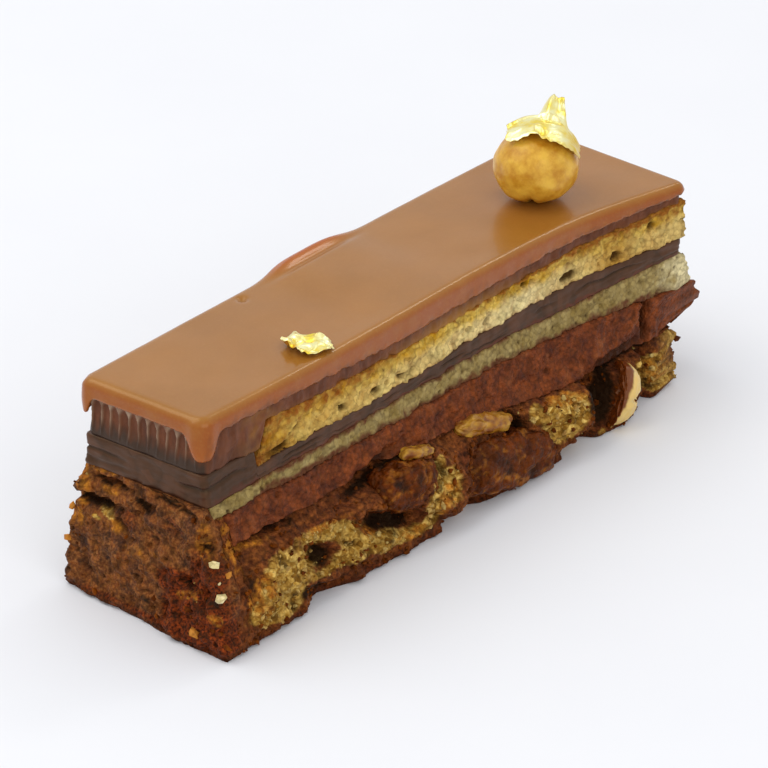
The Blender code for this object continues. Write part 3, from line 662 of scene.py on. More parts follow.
def crumb_material(name, codes, broad, grain, bump, roughness, gloss=0.2):
    """A torn, matt food surface. The codes are its light and its dark body, the painted shade in its pores
    and what has soaked into it; broad and grain are the sizes of its two patterns, and bump its relief, in
    millimetres."""
    light, dark, pore_shade, stain = codes.split()
    material, tree, shader, place = new_material(
        name, Roughness=roughness, Specular_IOR_Level=gloss, Specular_Tint=linear(WARM_SHINE)
    )
    patches, fine = noise(tree, place, broad, 6, 0.65), noise(tree, place, grain * 0.6, 4)
    cells = add(tree, "TexVoronoi", {"Vector": place, "Scale": per_metre(grain)})
    tone = add(tree, "SeparateColor", {0: cells.outputs["Color"]}).outputs[0]
    body = mix(tree, ranged(tree, patches, 0.35, 0.65), dark, light)
    freshened_and_lit = mix(tree, mesh_value(tree, "fresh_and_lit"), body, FRESH_AND_LIT_CRUMB)
    grainy = ranged(tree, tone, 0, 1, 0.72, 1.14)
    varied = add(tree, "HueSaturation", {"Saturation": 1.08, "Value": grainy, "Color": freshened_and_lit})
    spread = ranged(tree, combine(tree, "ADD", patches, fine), 0.7, 1.3, 0.75, 1.2)
    soaked = combine(tree, "MULTIPLY", mesh_value(tree, "stain"), spread, use_clamp=True)
    stained = mix(tree, soaked, varied.outputs[0], stain)
    # Painted shade: the gaps between grains and the mesh's shade value darken the colour towards the pore
    # colour.
    grain_gap_shade = ranged(tree, cells.outputs["Distance"], 0.5, 0.95, 0, 0.5)
    shade_and_blotch_share = combine(tree, "MAXIMUM", grain_gap_shade, mesh_value(tree, "shade_and_blotches"))
    height = combine(tree, "SUBTRACT", fine, cells.outputs["Distance"])
    finish_with(tree, shader, mix(tree, shade_and_blotch_share, stained, pore_shade), height, bump, 0.8)
    return material


almond_crumb = crumb_material("almond_sponge_crumb", "E4C976 C2933C 44290C 8E5018", 5.0, 0.9, 0.35, 0.85)
soaked_crumb = crumb_material("soaked_sponge_crumb", "AE9C6C 887444 34200E 5E3420", 4.0, 0.8, 0.25, 0.7)
cremeux_finish = crumb_material("chocolate_cremeux_cut", "86492F 51291F 1A0803 8E4E2A", 2.6, 0.7, 0.3, 0.55)
ganache_finish = crumb_material("dark_ganache_cut", "4F3226 3E241A 180B07 572215", 5.0, 2.4, 0.05, 0.38, 0.4)

# %% [markdown]
# ## The glaze
# The glaze was poured warm over the frozen bar, so its edge is round and it ran a little way down at the
# finished end's two corners. Its top is nearly level, with faint waves, one burst bubble, and a curl where
# it dragged over the back edge. A milk chocolate glaze is a satin skin: its body colour under a thin clear
# coat.

# %% Glaze finish
glaze_finish, tree, shader, place = new_material(
    "milk_chocolate_glaze", Roughness=0.27, Specular_IOR_Level=0.6, Specular_Tint=linear("FFD89C"),
    Subsurface_Weight=0.06, Subsurface_Scale=1.0 * MM, Subsurface_Radius=(1.0, 0.45, 0.2),
    Coat_Weight=0.22, Coat_Roughness=0.06,
)
clouds, specks = noise(tree, place, 14, 5, 0.6), noise(tree, place, 0.5, 2)
colour = mix(tree, ranged(tree, clouds, 0.35, 0.65), "925E21", "9B6527")
# Painted shade: the glaze's sides are painted darker and redder than its top, which catches more light.
colour = mix(tree, mesh_value(tree, "wall"), colour, "8C3F02")
colour = mix(tree, mesh_value(tree, "thin"), colour, "A8500A")
colour = mix(tree, ranged(tree, specks, 0.5, 0.8, 0, 0.2), colour, "A87236")
colour = mix(tree, mesh_value(tree, "stain"), colour, "54240C")
finish_with(tree, shader, colour, combine(tree, "ADD", clouds, specks), 0.05, 0.25)

# %% Glaze shape
GLAZE_EDGE_R, GLAZE_CORNER_R, LIP, LIP_DROP = 1.5, 2.4, 0.45, 0.15
# Each drip is its side of the end, how far it runs and its half width.
DRIPS = ((0.0, 4.4, 3.0), (1.0, 3.2, 2.4))
END_WIDTH, DRIP_REACH = 26.0, 0.8
CURL_X, CURL_HALF, CURL_OUT, CURL_UP = -5.0, 10.0, 1.3, 0.7
BUBBLE_AT, BUBBLE_R = (-24.1, 10.6), 0.75


def curl(x):
    return bell(x, CURL_X, CURL_HALF, 4)


def drips(u, v):
    """1 inside a drip and 0 away from it, with blunt ends, and its drop in millimetres."""
    place = np.where(u == 0, v * END_WIDTH, np.where(v > 0.5, END_WIDTH, 0.0))
    along_side = np.where(u == 0, 0.0, u * LENGTH)
    inside, drop = 0.0, 0.0
    for side, amount, width in DRIPS:
        bump = bell(np.hypot(place - side * END_WIDTH, along_side - DRIP_REACH), 0, width, 4)
        inside, drop = inside + bump, drop + amount * bump
    return inside, drop


def lip(low, high, u, v):
    """The glaze's lower edge: just over the mousse, deeper in a drip at each corner, and a little ragged."""
    ragged = wander(np.stack([u * LENGTH, v * 30, 0 * u], 1), 2.2, 70) * np.where(u == 0, 0.12, 0.3)
    return low - LIP_DROP - ragged - drips(u, v)[1]


def under_lip(below):
    """A ring that follows the glaze's lower edge."""
    return lambda low, high, u, v: lip(low, high, u, v) + below


def up_to_top(below):
    """A ring below the glaze's top, raised along the back where the curl is."""
    return lambda low, high, u, v: high - below + CURL_UP * curl(FINISHED_END + LENGTH * u) * (v == 1)


def part_way(share):
    """A ring between the lower edge and the rounded upper one."""
    def height(*place):
        return under_lip(0.3)(*place) * (1 - share) + up_to_top(GLAZE_EDGE_R)(*place) * share

    return height


glaze_levels = [(LIP, between(0)), (LIP, under_lip(0.05))]
glaze_levels += [(LIP * 0.45, under_lip(0.0)), (0.08, under_lip(0.08))]
glaze_levels += [(0.0, part_way(share)) for share in np.linspace(0, 1, 7)]
glaze_levels += [
    (GLAZE_EDGE_R * (1 - math.cos(a)), up_to_top(GLAZE_EDGE_R * (1 - math.sin(a))))
    for a in np.radians(np.linspace(11.25, 90, 8))
]


def glaze_relief(points, u, v, w):
    """Soft waves on the poured sides that fade at the top edge, full drips, and a crumbly cut lower edge."""
    waves = 0.16 * wander(points, 5.0, 71, 2) * np.clip(1.1 - w, 0.15, 1) * clamp(w * 5)
    full = 0.35 * drips(u, v)[0] * np.sin(np.pi * clamp(w * 1.3))
    cut = 0.3 * wander(points, 1.2, 76, 2) * clamp(1 - w * 2.6) * (u > 0) * (w > 0.1)
    return waves + full + cut


shape = {
    "under": glaze_under,
    "over": lambda x: np.full(np.shape(x), TOP_Z),
    "front": lambda x, z: front_line(x),
    "back": lambda x, z: back_line(x) + CURL_OUT * curl(x),
    **ends(FINISHED_END - 0.3, CUT_END - 0.4),
}
points, faces, u, v, w = layer(
    shape, glaze_levels, columns(300), 76, glaze_relief, GLAZE_CORNER_R, top_grid=True
)
x, y, z = points.T
to_edges = [y - front_line(x), back_line(x) - y, x - FINISHED_END, CUT_END - x]
inward = clamp(np.minimum.reduce(to_edges) / 4)
away = np.hypot(x - BUBBLE_AT[0], y - BUBBLE_AT[1])
back_share = clamp((y - back_line(x) + 3.2) / 3.2)
groove = 0.45 * curl(x) * bell(y - back_line(x), -2.4, 0.8)
tilt = 0.10 * wander(points, 16.0, 72, 2) * inward - 0.7 * bell(away, 0, BUBBLE_R) - groove
points[:, 2] = z + (w == 1) * (tilt + CURL_UP * curl(x) * (back_share**2 * (v < 1)) * 0.9)
thin = curl(x) * clamp((y - back_line(x) + 2.6) / 2.0)
tips = drips(u, v)[0] * clamp(1 - w * 2.5) * (w < 1)
dark_edge = np.interp(x, (-45, -30), (1.3, 0.9)) - w * 3 + 0.5 * wander(points, 1.6, 77, 2)
cut_edge = clamp(dark_edge) * (u > 0) * (w < 0.6)
uneven = clamp(0.95 + 0.25 * wander(points, 4.0, 79))
glaze_values = {
    "thin": clamp(thin + 0.8 * tips),
    # The sides' painted shade, a little uneven.
    "wall": clamp((0.85 - w) / 0.25) * np.where(u == 0, 0.85, 0.95) * uneven,
    "stain": np.clip(cut_edge - tips, 0, 0.8),
}
make_piece("glaze_poured", points, faces, glaze_finish, ["glaze"], glaze_values)

# %% [markdown]
# ## Praline mousse
# The finished end was smoothed with a knife that left a row of upright ribs, with a painted highlight on
# their thin ridges. They are real relief: rounded scallops across the end, fading towards the ganache. On
# the cut side the mousse is only a thin band over the sponge.

# %% Praline mousse
RIB_PITCH, RIB_DEPTH, MOUSSE_CORNER_R = 1.95, 0.5, 1.9
RIB_MIDDLE_Z, ARCH_Z, RIB_FOOT_Z, SMEAR_TOP_Z = 34.0, 35.3, 30.0, 33.4

mousse_finish, tree, shader, place = new_material(
    "praline_mousse_smoothed", Roughness=0.42, Specular_IOR_Level=0.22, Specular_Tint=linear("FFE0B4")
)
upright = add(tree, "Mapping", {"Vector": place, "Scale": (1.0, 1.0, 0.35)}).outputs[0]
patches = noise(tree, upright, 2.2, 6, 0.65)
colour = mix(tree, ranged(tree, patches, 0.35, 0.65), "502818", "70402A")
# The first value paints a highlight on the ribs' thin ridges; low and stain are the mousse's own colours.
for value_name, code in (("rib_highlight", "A58C74"), ("low", "3A2B24"), ("stain", "9A6A2C")):
    colour = mix(tree, mesh_value(tree, value_name), colour, code)
finish_with(tree, shader, colour, patches, 0.2, 0.6)


def valleys(points):
    """0 on the thin lines between the ribs, 1 in their hollows, which close in an arch under the glaze."""
    bent = points[:, 1] + 0.3 * wander(points, 8.0, 74, 2) + 0.05 * (points[:, 2] - RIB_MIDDLE_Z)
    wave = np.abs(np.sin(np.pi * bent / RIB_PITCH))
    arch = clamp((points[:, 2] - ARCH_Z + 0.4 * wander(points, 3.0, 78, 1)) / 1.6)
    return clamp((wave - arch) / 0.45)


def mousse_relief(points, u, v, w):
    fade = clamp((points[:, 2] - RIB_FOOT_Z) / 3.0)
    knife = RIB_DEPTH * (0.35 - valleys(points)) * fade * (u == 0)
    rough = 0.3 * wander(points * (1, 1, 0.6), 2.0, 75, 3) + 0.12 * (grains(points, 1.3, 121) - 0.6)
    return knife + 0.2 * wander(points, 5.0, 1) + rough * (u > 0)


shape = {
    "under": mousse_under, "over": glaze_under, **cut_faces(0.7),
    **ends(FINISHED_END + 0.5, CUT_END - 1.2),
}
stations = columns(300, SPONGE_TIP_X + 0.65, SPONGE_TIP_X + 2.35)
points, faces, u, v, w = layer(
    shape, plain_levels(26), stations, 190, mousse_relief, MOUSSE_CORNER_R, seams=(201, 0)
)
x, y, z = points.T
# Painted highlight: the thin ridges between the ribs are painted pale, fading towards the ganache.
line = (1 - valleys(points)) ** 1.5 * (u == 0)
wear_and_highlight = line * clamp((z - 30.2) / 2.5) * clamp(0.75 + 0.5 * wander(points, 2.5, 79, 2))
smear = clamp((SMEAR_TOP_Z - z + wander(points * (1, 1, 0.3), 1.2, 100, 2)) / 2.4)
low_end = smear * (x < SPONGE_TIP_X) * np.where(u == 0, 1.0, 0.3)
yellowed = clamp(1 - np.abs(x - 4) / 22) * clamp(0.9 - w) + 0.5 * clamp(0.3 - w) * (x > SPONGE_TIP_X)
yellowed += 0.5 * bell(x - SPONGE_TIP_X, 1, 3.5) * clamp(0.5 + wander(points, 2.2, 120, 3))
mousse_values = {"rib_highlight": wear_and_highlight * 0.8, "low": low_end, "stain": np.clip(yellowed * (u > 0), 0, 0.9)}
make_piece(
    "praline_mousse_smoothed", points, faces, mousse_finish, ["praline_mousse"],
    mousse_values,
)

# %% [markdown]
# ## The sponges and the ganache
# Almond sponge is whisked, so it is full of small round bubbles, and the saw-cut opens them as pores. The
# lower sponge has drunk syrup and is denser and greyer. The ganache set smooth between them.

# %% Upper almond sponge
# The larger bubbles on the two cut faces: along, up, half length, half height, depth and slope.
SPONGE_HOLES = (
    (44.3, 30.0, 1.1, 0.8, -1.4, 0.0),
    (33.2, 30.0, 1.6, 0.8, -1.7, 0.1),
    (12.2, 29.5, 0.9, 0.6, -1.3, 0.0),
    (-9.3, 28.5, 1.7, 0.5, -1.3, 0.1),
    (-17.1, 28.5, 1.0, 0.5, -1.2, 0.0),
    (-25.9, 29.0, 0.7, 0.4, -1.2, 0.0),
    (-37.3, 30.2, 0.8, 0.5, -1.0, 0.0),
    (-40.6, 27.9, 1.5, 0.6, -1.7, 0.1),
    (22.0, 32.6, 0.8, 0.5, -1.0, 0.0),
    (52.0, 33.6, 0.9, 0.6, -1.0, 0.0),
)


def bubbles(points, v):
    """How deep the sponge is opened at each point: small pores, fewer middle ones, and placed bubbles."""
    small = 0.5 * pores(points, 1.5, 83, 0.24) + 0.9 * pores(points, 3.3, 82, 0.2)
    mirrored = points[:, 0] * np.where(v == 1, -1, 1)
    placed_ones = -features(SPONGE_HOLES, mirrored, points[:, 2]) * ((v == 0) | (v == 1))
    return np.maximum(small, placed_ones)


def sponge_relief(points, u, v, w):
    """The torn form with rounded grains on it, less the bubbles."""
    torn = 0.45 * wander(points, 3.4, 2) + 0.25 * wander(points, 1.5, 3)
    torn = np.where(u == 0, 0.2, 1.0) * torn
    fine = 0.26 * (grains(points, 1.2, 80) - 0.6) + 0.14 * wander(points, 0.7, 81, 2)
    return torn + fine - bubbles(points, v)


shape = {
    "under": ganache_top_inner, "over": sponge_top, **cut_faces(0.6),
    **ends(SPONGE_TIP_X, CUT_END - 0.6, slant=0.35),
}
points, faces, u, v, w = layer(shape, plain_levels(36), columns(520), 110, sponge_relief, seams=(202, 201))
x, y, z = points.T
ragged = wander(points, 2.2, 103, 3)
# How brown the crumb is near the top and in the middle, and how fresh, at places along the bar.
PLACES = (-48, -42, -33, -22, -11, 0, 22, 33, 44, 55)
top_share = np.interp(x, PLACES, (0.95, 0.85, 0.75, 0.85, 0.25, 0.12, 0.22, 0.4, 0.6, 0.6))
middle_share = np.interp(x, PLACES, (0.85, 0.65, 0.2, 0.2, 0.05, 0.0, 0.0, 0.15, 0.4, 0.2))
fresh_share = np.interp(x, PLACES, (0.0, 0.0, 0.15, 0.2, 0.3, 0.4, 0.7, 0.4, 0.1, 0.3))
browned = middle_share + (top_share - middle_share) * clamp((w - 0.62 + 0.10 * ragged) / 0.2)
crest = np.interp(x, (-50, 20, 33, 44, 60), (0.92, 0.92, 0.84, 0.80, 0.84))
top_line = clamp((w - crest + 0.07 * ragged) / 0.07) * 0.9
tip = clamp((SPONGE_TIP_X + 2.6 + 1.2 * ragged - x) / 2.0) * 0.9
underside = np.maximum(clamp((0.10 - w + 0.08 * ragged) / 0.1) * 0.5, tip)
soaked_in = [browned * (0.95 + 0.55 * ragged), top_line, underside, 0.5 * ragged - 0.1]
# Painted shade in the pores and bubbles.
sponge_values = {
    "shade_and_blotches": np.clip(0.95 * bubbles(points, v), 0, 0.95),
    "fresh_and_lit": fresh_share * clamp((0.75 - w + 0.1 * ragged) / 0.3),
    "stain": clamp(np.maximum.reduce(soaked_in)),
}
make_piece(
    "almond_sponge_upper_crumb", points, faces, almond_crumb, ["almond_sponge_upper"],
    sponge_values,
)

# %% Ganache
# Each split is its share of the layer's height and its seed.
UPPER_SPLIT, LOWER_SPLIT = (0.55, 104), (0.25, 106)
SHADED_END_X = -44.0


def splits(points, w, height, seed):
    """Thin level cracks: 1 along a wandering line at a share of the layer's height, where a noise allows."""
    line = height + 0.10 * wander(points * (1, 1, 0), 7.0, seed, 2)
    allowed = clamp(wander(points * (1, 1, 0), 9.0, seed + 1, 1) * 3 + 0.3)
    return bell(w, line, 0.05) * allowed


def ganache_relief(points, u, v, w):
    smooth = 0.14 * wander(points, 6.0, 4) + 0.12 * wander(points * (0.35, 0.35, 1.8), 2.0, 84, 2)
    return smooth - 0.35 * splits(points, w, *UPPER_SPLIT) - 0.3 * splits(points, w, *LOWER_SPLIT)


shape = {
    "under": ganache_under, "over": ganache_top, **cut_faces(0.65),
    **ends(FINISHED_END + 0.3, CUT_END - 0.9),
}
stations = columns(360, SPONGE_TIP_X - 0.55, SPONGE_TIP_X - 0.25)
points, faces, u, v, w = layer(shape, plain_levels(24), stations, 90, ganache_relief, 1.0, seams=(203, 202))
cracked = np.maximum(splits(points, w, *UPPER_SPLIT), splits(points, w, *LOWER_SPLIT))
crumbed = clamp((0.16 - w + 0.16 * wander(points, 1.6, 108, 2)) / 0.1) * (u > 0) * 0.8
shaded_end = clamp((SHADED_END_X - points[:, 0]) / 6) * (u > 0)
# Painted shade in the cracks and on the front near the finished end.
ganache_values = {"shade_and_blotches": np.maximum(cracked * 0.8, shaded_end * 0.35), "stain": crumbed}
make_piece(
    "dark_ganache_cut", points, faces, ganache_finish, ["dark_ganache"], ganache_values
)

# %% Lower almond sponge
def soaked_pores(points):
    return pores(points, 2.2, 87, 0.24)


def soaked_relief(points, u, v, w):
    free = np.where(u == 0, 0.0, 1.0)
    torn = 0.35 * wander(points, 3.6, 5) + 0.15 * wander(points, 1.6, 6)
    fine = 0.2 * (grains(points, 1.1, 85) - 0.6) + 0.12 * wander(points, 0.6, 86, 2)
    return free * (torn + fine - 0.5 * soaked_pores(points))


shape = {
    "under": lower_sponge_under, "over": ganache_under, **cut_faces(0.6),
    "near": lambda v, z: RIM_X - 0.2 + 0 * z,
    "far": lambda v, z: np.interp(z, (19.0, 25.5), (BROKEN_END_X - 1.0, CUT_END - 0.2)),
}
points, faces, u, v, w = layer(shape, plain_levels(24), columns(480), 110, soaked_relief, seams=(204, 203))
x, y, z = points.T
ragged = wander(points, 2.0, 109, 3)
syrup = np.interp(x, (-60, -52, -44, -35, -15, 60), (0.1, 0.16, 0.5, 0.52, 0.34, 0.28))
lower_soak = clamp((syrup - w + 0.2 * ragged) / 0.25)
upper_soak = clamp((w - 1.12 + syrup * 0.8 + 0.15 * ragged) / 0.2)
# Painted shade in the pores. The pale far tip is partly painted light where it sticks out, partly crumb as
# pale as the upper sponge's.
soaked_values = {
    "shade_and_blotches": 0.8 * soaked_pores(points),
    "fresh_and_lit": 0.85 * clamp((x - 53 + 4 * ragged) / 6),
    "stain": clamp(0.12 + np.maximum(lower_soak, upper_soak) * 0.85 * np.clip((62 - x) / 8, 0.2, 1)),
}
make_piece(
    "almond_sponge_lower_crumb", points, faces, soaked_crumb, ["almond_sponge_lower"],
    soaked_values,
)

# %% [markdown]
# ## Chocolate cremeux
# A dense cream that was cut half frozen: it broke rather than sliced, so its face is rough and cracked, and
# at the cut end it sticks out past the cake in a thick ledge.

# %% Chocolate cremeux
def cremeux_dents(points):
    return pores(points, 5.0, 110, 0.16)


def cremeux_relief(points, u, v, w):
    x, z = points[:, 0], points[:, 2]
    carved = features(CREMEUX_FEATURES, x, z) * (v == 0)
    corner_break = -1.2 * bell(z, 11.0, 1.6) * (u == 1)
    torn = 0.55 * wander(points, 4.6, 7) + 0.25 * wander(points, 1.8, 8)
    fine = 0.32 * (grains(points, 1.5, 88) - 0.6) + 0.14 * wander(points, 0.7, 89, 2)
    joined = 0.55 * clamp((RIM_SHELF_X + 3 - x) / 3)
    return np.where(u == 0, 0.0, carved + corner_break + torn + fine - 0.6 * cremeux_dents(points) + joined)


shape = {
    "under": cremeux_under, "over": lower_sponge_under, **cut_faces(0.4),
    "near": lambda v, z: RIM_SHELF_X - 0.3 + 0 * z,
    "far": lambda v, z: BROKEN_END_X + np.interp(z, (11.0, 13.5, 16.0, 19.0), (-4.0, 1.8, 1.0, -0.8)),
}
points, faces, u, v, w = layer(
    shape, plain_levels(40, 0.5), columns(440), 120, cremeux_relief, far_margin=4.5, seams=(205, 204)
)
x, y, z = points.T
# Painted shade in the carved hollows of the front and in the dents.
dark = clamp(-features(CREMEUX_FEATURES, x, z) / 2.5) * (v == 0)
crumby = clamp(wander(points, 3.0, 111, 3) - 0.35) * 1.2 + (u == 1) * 0.35
cremeux_values = {"shade_and_blotches": np.maximum(dark, 0.7 * cremeux_dents(points)), "stain": np.clip(crumby, 0, 0.8)}
make_piece(
    "chocolate_cremeux_cut", points, faces, cremeux_finish, ["chocolate_cremeux"],
    cremeux_values,
)

# %% [markdown]
# ## The baked hazelnut cake
# The base carries most of the character: pale crumb where it tore, chocolate where it soaked, caves between
# lumps, a browned crust at the finished end and a darker foot. Its material reads five values that are
# worked
# out with the shape: how much crust, moist crumb, pale crumb and golden crumb shows, and how much painted
# shade lies on a place, with a few dark blotches on the crust.

# %% Cake finish
cake_finish, tree, shader, place = new_material(
    "baked_hazelnut_cake", Roughness=0.72, Specular_IOR_Level=0.25, Specular_Tint=linear(WARM_SHINE)
)
broad, fine = noise(tree, place, 4.0, 7, 0.7), noise(tree, place, 1.1, 5, 0.7)
blotches, specks = noise(tree, place, 3.6, 5, 0.65), noise(tree, place, 0.45, 3, 0.6)
broad_share, fine_share = ranged(tree, broad, 0.38, 0.62), ranged(tree, fine, 0.36, 0.64)
blotch_share, speck_share = ranged(tree, blotches, 0.42, 0.6), ranged(tree, specks, 0.38, 0.62)
cells = add(tree, "TexVoronoi", {"Vector": place, "Scale": per_metre(1.0)})
tone = add(tree, "SeparateColor", {0: cells.outputs["Color"]}).outputs[0]


def four_tones(outer_share, inner_share, codes):
    """Two mixes of two colours by one pattern, mixed by another."""
    codes = codes.split()
    return mix(tree, outer_share, mix(tree, inner_share, *codes[:2]), mix(tree, inner_share, *codes[2:]))


colour = four_tones(broad_share, fine_share, "34140A 78391A 52210D 9E5A26")
baked = four_tones(blotch_share, speck_share, "36201A 553328 78401E 9E6636")
for value_name, above in (
    ("crust", mix(tree, broad_share, baked, mix(tree, speck_share, "783C18", "9A5C28"))),
    ("moist", mix(tree, speck_share, "360A04", "8E3A10")),
    ("crumb", four_tones(tone, fine_share, "7C5010 BE8628 AE7E26 E8C66E")),
    ("gold", mix(tree, fine_share, "8C4810", "D88C28")),
):
    colour = mix(tree, mesh_value(tree, value_name), colour, above)
varied = add(tree, "HueSaturation", {"Value": ranged(tree, tone, 0, 1, 0.7, 1.15), "Color": colour})
# Painted shade: the gaps between grains and the mesh's shade value darken the colour towards 1C0A02.
grain_gap_shade = ranged(tree, cells.outputs["Distance"], 0.5, 0.95, 0, 0.6)
shade_and_blotch_share = combine(tree, "MAXIMUM", grain_gap_shade, mesh_value(tree, "shade_and_blotches"))
rough = combine(tree, "SUBTRACT", fine, cells.outputs["Distance"])
height = add(tree, "Math", {0: specks, 1: 0.5, 2: rough}, operation="MULTIPLY_ADD").outputs[0]
finish_with(tree, shader, mix(tree, shade_and_blotch_share, varied.outputs[0], "1C0A02"), height, 0.45, 0.9)

# %% Cake shape
CRUST_X = -57.5


def patch(zones, a, b, points, seed, gain=4.0):
    """The placed zones of one finish on a face, with an edge that wanders by a grain or two."""
    ragged = 0.24 * wander(points, 2.4, seed, 3) + 0.16 * wander(points, 0.9, seed + 1, 2)
    return clamp((features(zones, a, b) + ragged - 0.45) * gain)


def crumb_share(points, u, v):
    """Where pale crumb shows on the cut faces, with a ragged edge."""
    x, y, z = points.T
    front = patch(FRONT_CRUMB, *seen(points), points, 90) * (v == 0)
    back = patch(BACK_CRUMB, x, z, points, 90) * (v == 1)
    near_end = patch(END_PALE, *seen_end(points), points, 113) * (u == 0)
    far_cut = clamp((0.5 + 0.5 * wander(points, 4.0, 112, 3)) * 2) * (u == 1) * (z < 11)
    return clamp((front + back) * (u > 0) + near_end + far_cut)


def moist_share(points):
    """Where the finished end is moist."""
    return patch(END_MOIST, *seen_end(points), points, 114, 2.0)


def finish_share(points, u, v, end_zones, front_zones, end_seed, front_seed, gain=4.0):
    """Where a finish shows on the finished end and on the front face."""
    front = patch(front_zones, *seen(points), points, front_seed, gain) * (v == 0)
    return np.where(u == 0, patch(end_zones, *seen_end(points), points, end_seed, gain), front)


def clumps(points):
    """The rounded clumps of crumb: 1 at the middle of each and 0 between them."""
    return grains(points, 2.4, 91)


def end_pores(points):
    return pores(points, 2.3, 96, 0.26)


def broad_tears(points):
    return wander(points, 4.4, 9)


def cake_relief(points, u, v, w):
    x, y, z = points.T
    carved = features(FRONT_FEATURES, x, z) * (v == 0) + features(BACK_FEATURES, x, z) * (v == 1)
    pressed = features(END_FEATURES, *seen_end(points)) * (u == 0)
    torn = (1.3 * broad_tears(points) + 0.6 * wander(points, 2.1, 10)) * np.where(u == 1, 0.6, 1.0)
    end_hollow = -3.2 * bell(z, 9.5, 3.2) * (u == 1) * clamp(6 * v * (1 - v))
    baked = np.clip((x - CAKE_END_X) / 9.0, 0.25, 1.0)
    standing = np.clip(z / 1.2, 0.35, 1.0) * np.where((u == 0) & (z > 20), 0.3, 1.0)
    form = (carved + end_hollow + torn * standing) * baked + pressed
    crumbly = np.maximum(crumb_share(points, u, v), 0.45)
    side = crumbly * (1.3 * (clumps(points) - 0.6) + 0.6 * (grains(points, 1.1, 92) - 0.6))
    end = (0.8 + 0.8 * moist_share(points)) * (grains(points, 2.3, 94) - 0.6)
    end = end + 0.6 * wander(points, 3.0, 95, 4) - 0.8 * end_pores(points)
    return form + (np.where(u == 0, end, side) + 0.2 * wander(points, 0.7, 93, 2)) * np.clip(z / 0.5, 0.2, 1)


def cake_rows(count):
    """Rings up the cake's sides: even up to the shoulder, then pulled in over it."""
    shares = np.linspace(0, 1, count)
    over_edge = clamp((shares - 0.8) / 0.2)
    foot = clamp(1 - shares / 0.03)
    return [(1.7 * over_edge[k] ** 2 + 0.6 * foot[k], between(shares[k])) for k in range(count)]


def cake_near(v, z):
    """The cake's finished end: out of square in plan, and falling back a little above the middle."""
    return CAKE_END_X + CAKE_END_SLANT * (v - 0.5) + np.interp(z, (0, 14, 17, 25), (0, 0.5, 0.9, 0.9))


shape = {
    "under": lambda x: np.zeros(np.shape(x)), "over": cake_top,
    "front": lambda x, z: front_face(x, z) - 0.3, "back": back_face,
    "near": cake_near,
    "far": lambda v, z: CAKE_CUT_X - 0.6 * v + 0 * z,
}
stations = columns(390, RIM_X - 0.15, RIM_X + 0.15, RIM_SHELF_X - 0.15, RIM_SHELF_X + 0.15)
points, faces, u, v, w = layer(
    shape, cake_rows(84), stations, 130, cake_relief, 0.9, end_inset=0.3, far_margin=5.0, seams=(0, 205)
)
x, y, z = points.T
crumbly = crumb_share(points, u, v)
at_end = clamp((CRUST_X + 1.2 * wander(points, 3.0, 98, 3) - x) / 1.5)
# Along the foot the cake takes the moist colour and painted shade, and less pale crumb.
base = clamp((1.5 + 0.9 * wander(points, 3.0, 97) - z) / 0.8)
gold = finish_share(points, u, v, END_GOLD, FRONT_GOLD, 116, 117)
# Painted shade in the placed caves, the end's pores, the back's hollows, between clumps, in torn lows and
# along the foot; the crust's dark blotches ride on the same value.
shade_and_blotch_places = [
    0.97 * finish_share(points, u, v, END_SHADE, FRONT_SHADE, 122, 124, 3.0),
    0.85 * end_pores(points) * (u == 0),
    -features(BACK_FEATURES, x, z) * (v == 1) / 4.5,
    0.8 * crumbly * clamp(1.1 - 1.5 * clumps(points)),
    np.clip(wander(points, 2.2, 115, 3) * 2.0 - 0.4, 0, 0.6) * at_end,
    np.clip(-0.45 * broad_tears(points) - 0.1, 0, 0.4) * (1 - at_end),
    0.5 * base,
]
cake_values = {
    "crumb": crumbly * (1 - 0.85 * base),
    "gold": np.clip(gold * (0.62 + 1.1 * wander(points, 1.3, 124, 2)), 0, 0.9),
    "crust": at_end,
    "moist": clamp(np.maximum(moist_share(points) * at_end, 0.75 * base)),
    "shade_and_blotches": np.clip(np.maximum.reduce(shade_and_blotch_places), 0, 0.97),
}
cake_points, cake_u, cake_v, cake_w = points, u, v, w
make_piece("hazelnut_cake_torn", points, faces, cake_finish, ["hazelnut_cake"], cake_values)

# %% [markdown]
# ## Round pieces
# Nuts and chocolate lumps are closed balls at heart. A grid of longitudes and latitudes gives unit
# directions, the poles are closed with a single point each, and a function turns directions into the
# piece's own form.

# %% Balls from directions
def ball(form, longitudes=96, latitudes=48):
    """Points and faces of a closed round piece; form turns unit directions into points in millimetres."""
    a = np.linspace(0, 2 * np.pi, longitudes, endpoint=False)
    b = np.linspace(-np.pi / 2, np.pi / 2, latitudes + 1)[1:-1]
    around, up = np.meshgrid(a, b)
    level = np.cos(up)
    rows = np.stack([level * np.cos(around), level * np.sin(around), np.sin(up)], -1).reshape(-1, 3)
    directions = np.concatenate([rows, [[0, 0, -1.0], [0, 0, 1.0]]])
    last, low, high = (latitudes - 2) * longitudes, len(rows), len(rows) + 1
    pairs = [(p, (p + 1) % longitudes) for p in range(longitudes)]
    fans = [[q, p, low] for p, q in pairs] + [[last + p, last + q, high] for p, q in pairs]
    return form(directions), ring_quads(latitudes - 1, longitudes) + fans, directions


def placed(points, centre, turns):
    """Points turned about X, then Y, then Z, and moved to a centre."""
    for axis, degrees in enumerate(turns):
        a = math.radians(degrees)
        i, j = [(1, 2), (2, 0), (0, 1)][axis]
        first, second = points[:, i].copy(), points[:, j].copy()
        points[:, i] = first * math.cos(a) - second * math.sin(a)
        points[:, j] = first * math.sin(a) + second * math.cos(a)
    return points + np.array(centre)


# %% [markdown]
# Lumps of chocolate-soaked crumb and broken nuts sit in the cake's side. A lump is between a ball and a
# box, with a wandering surface and crumbs stuck to it.

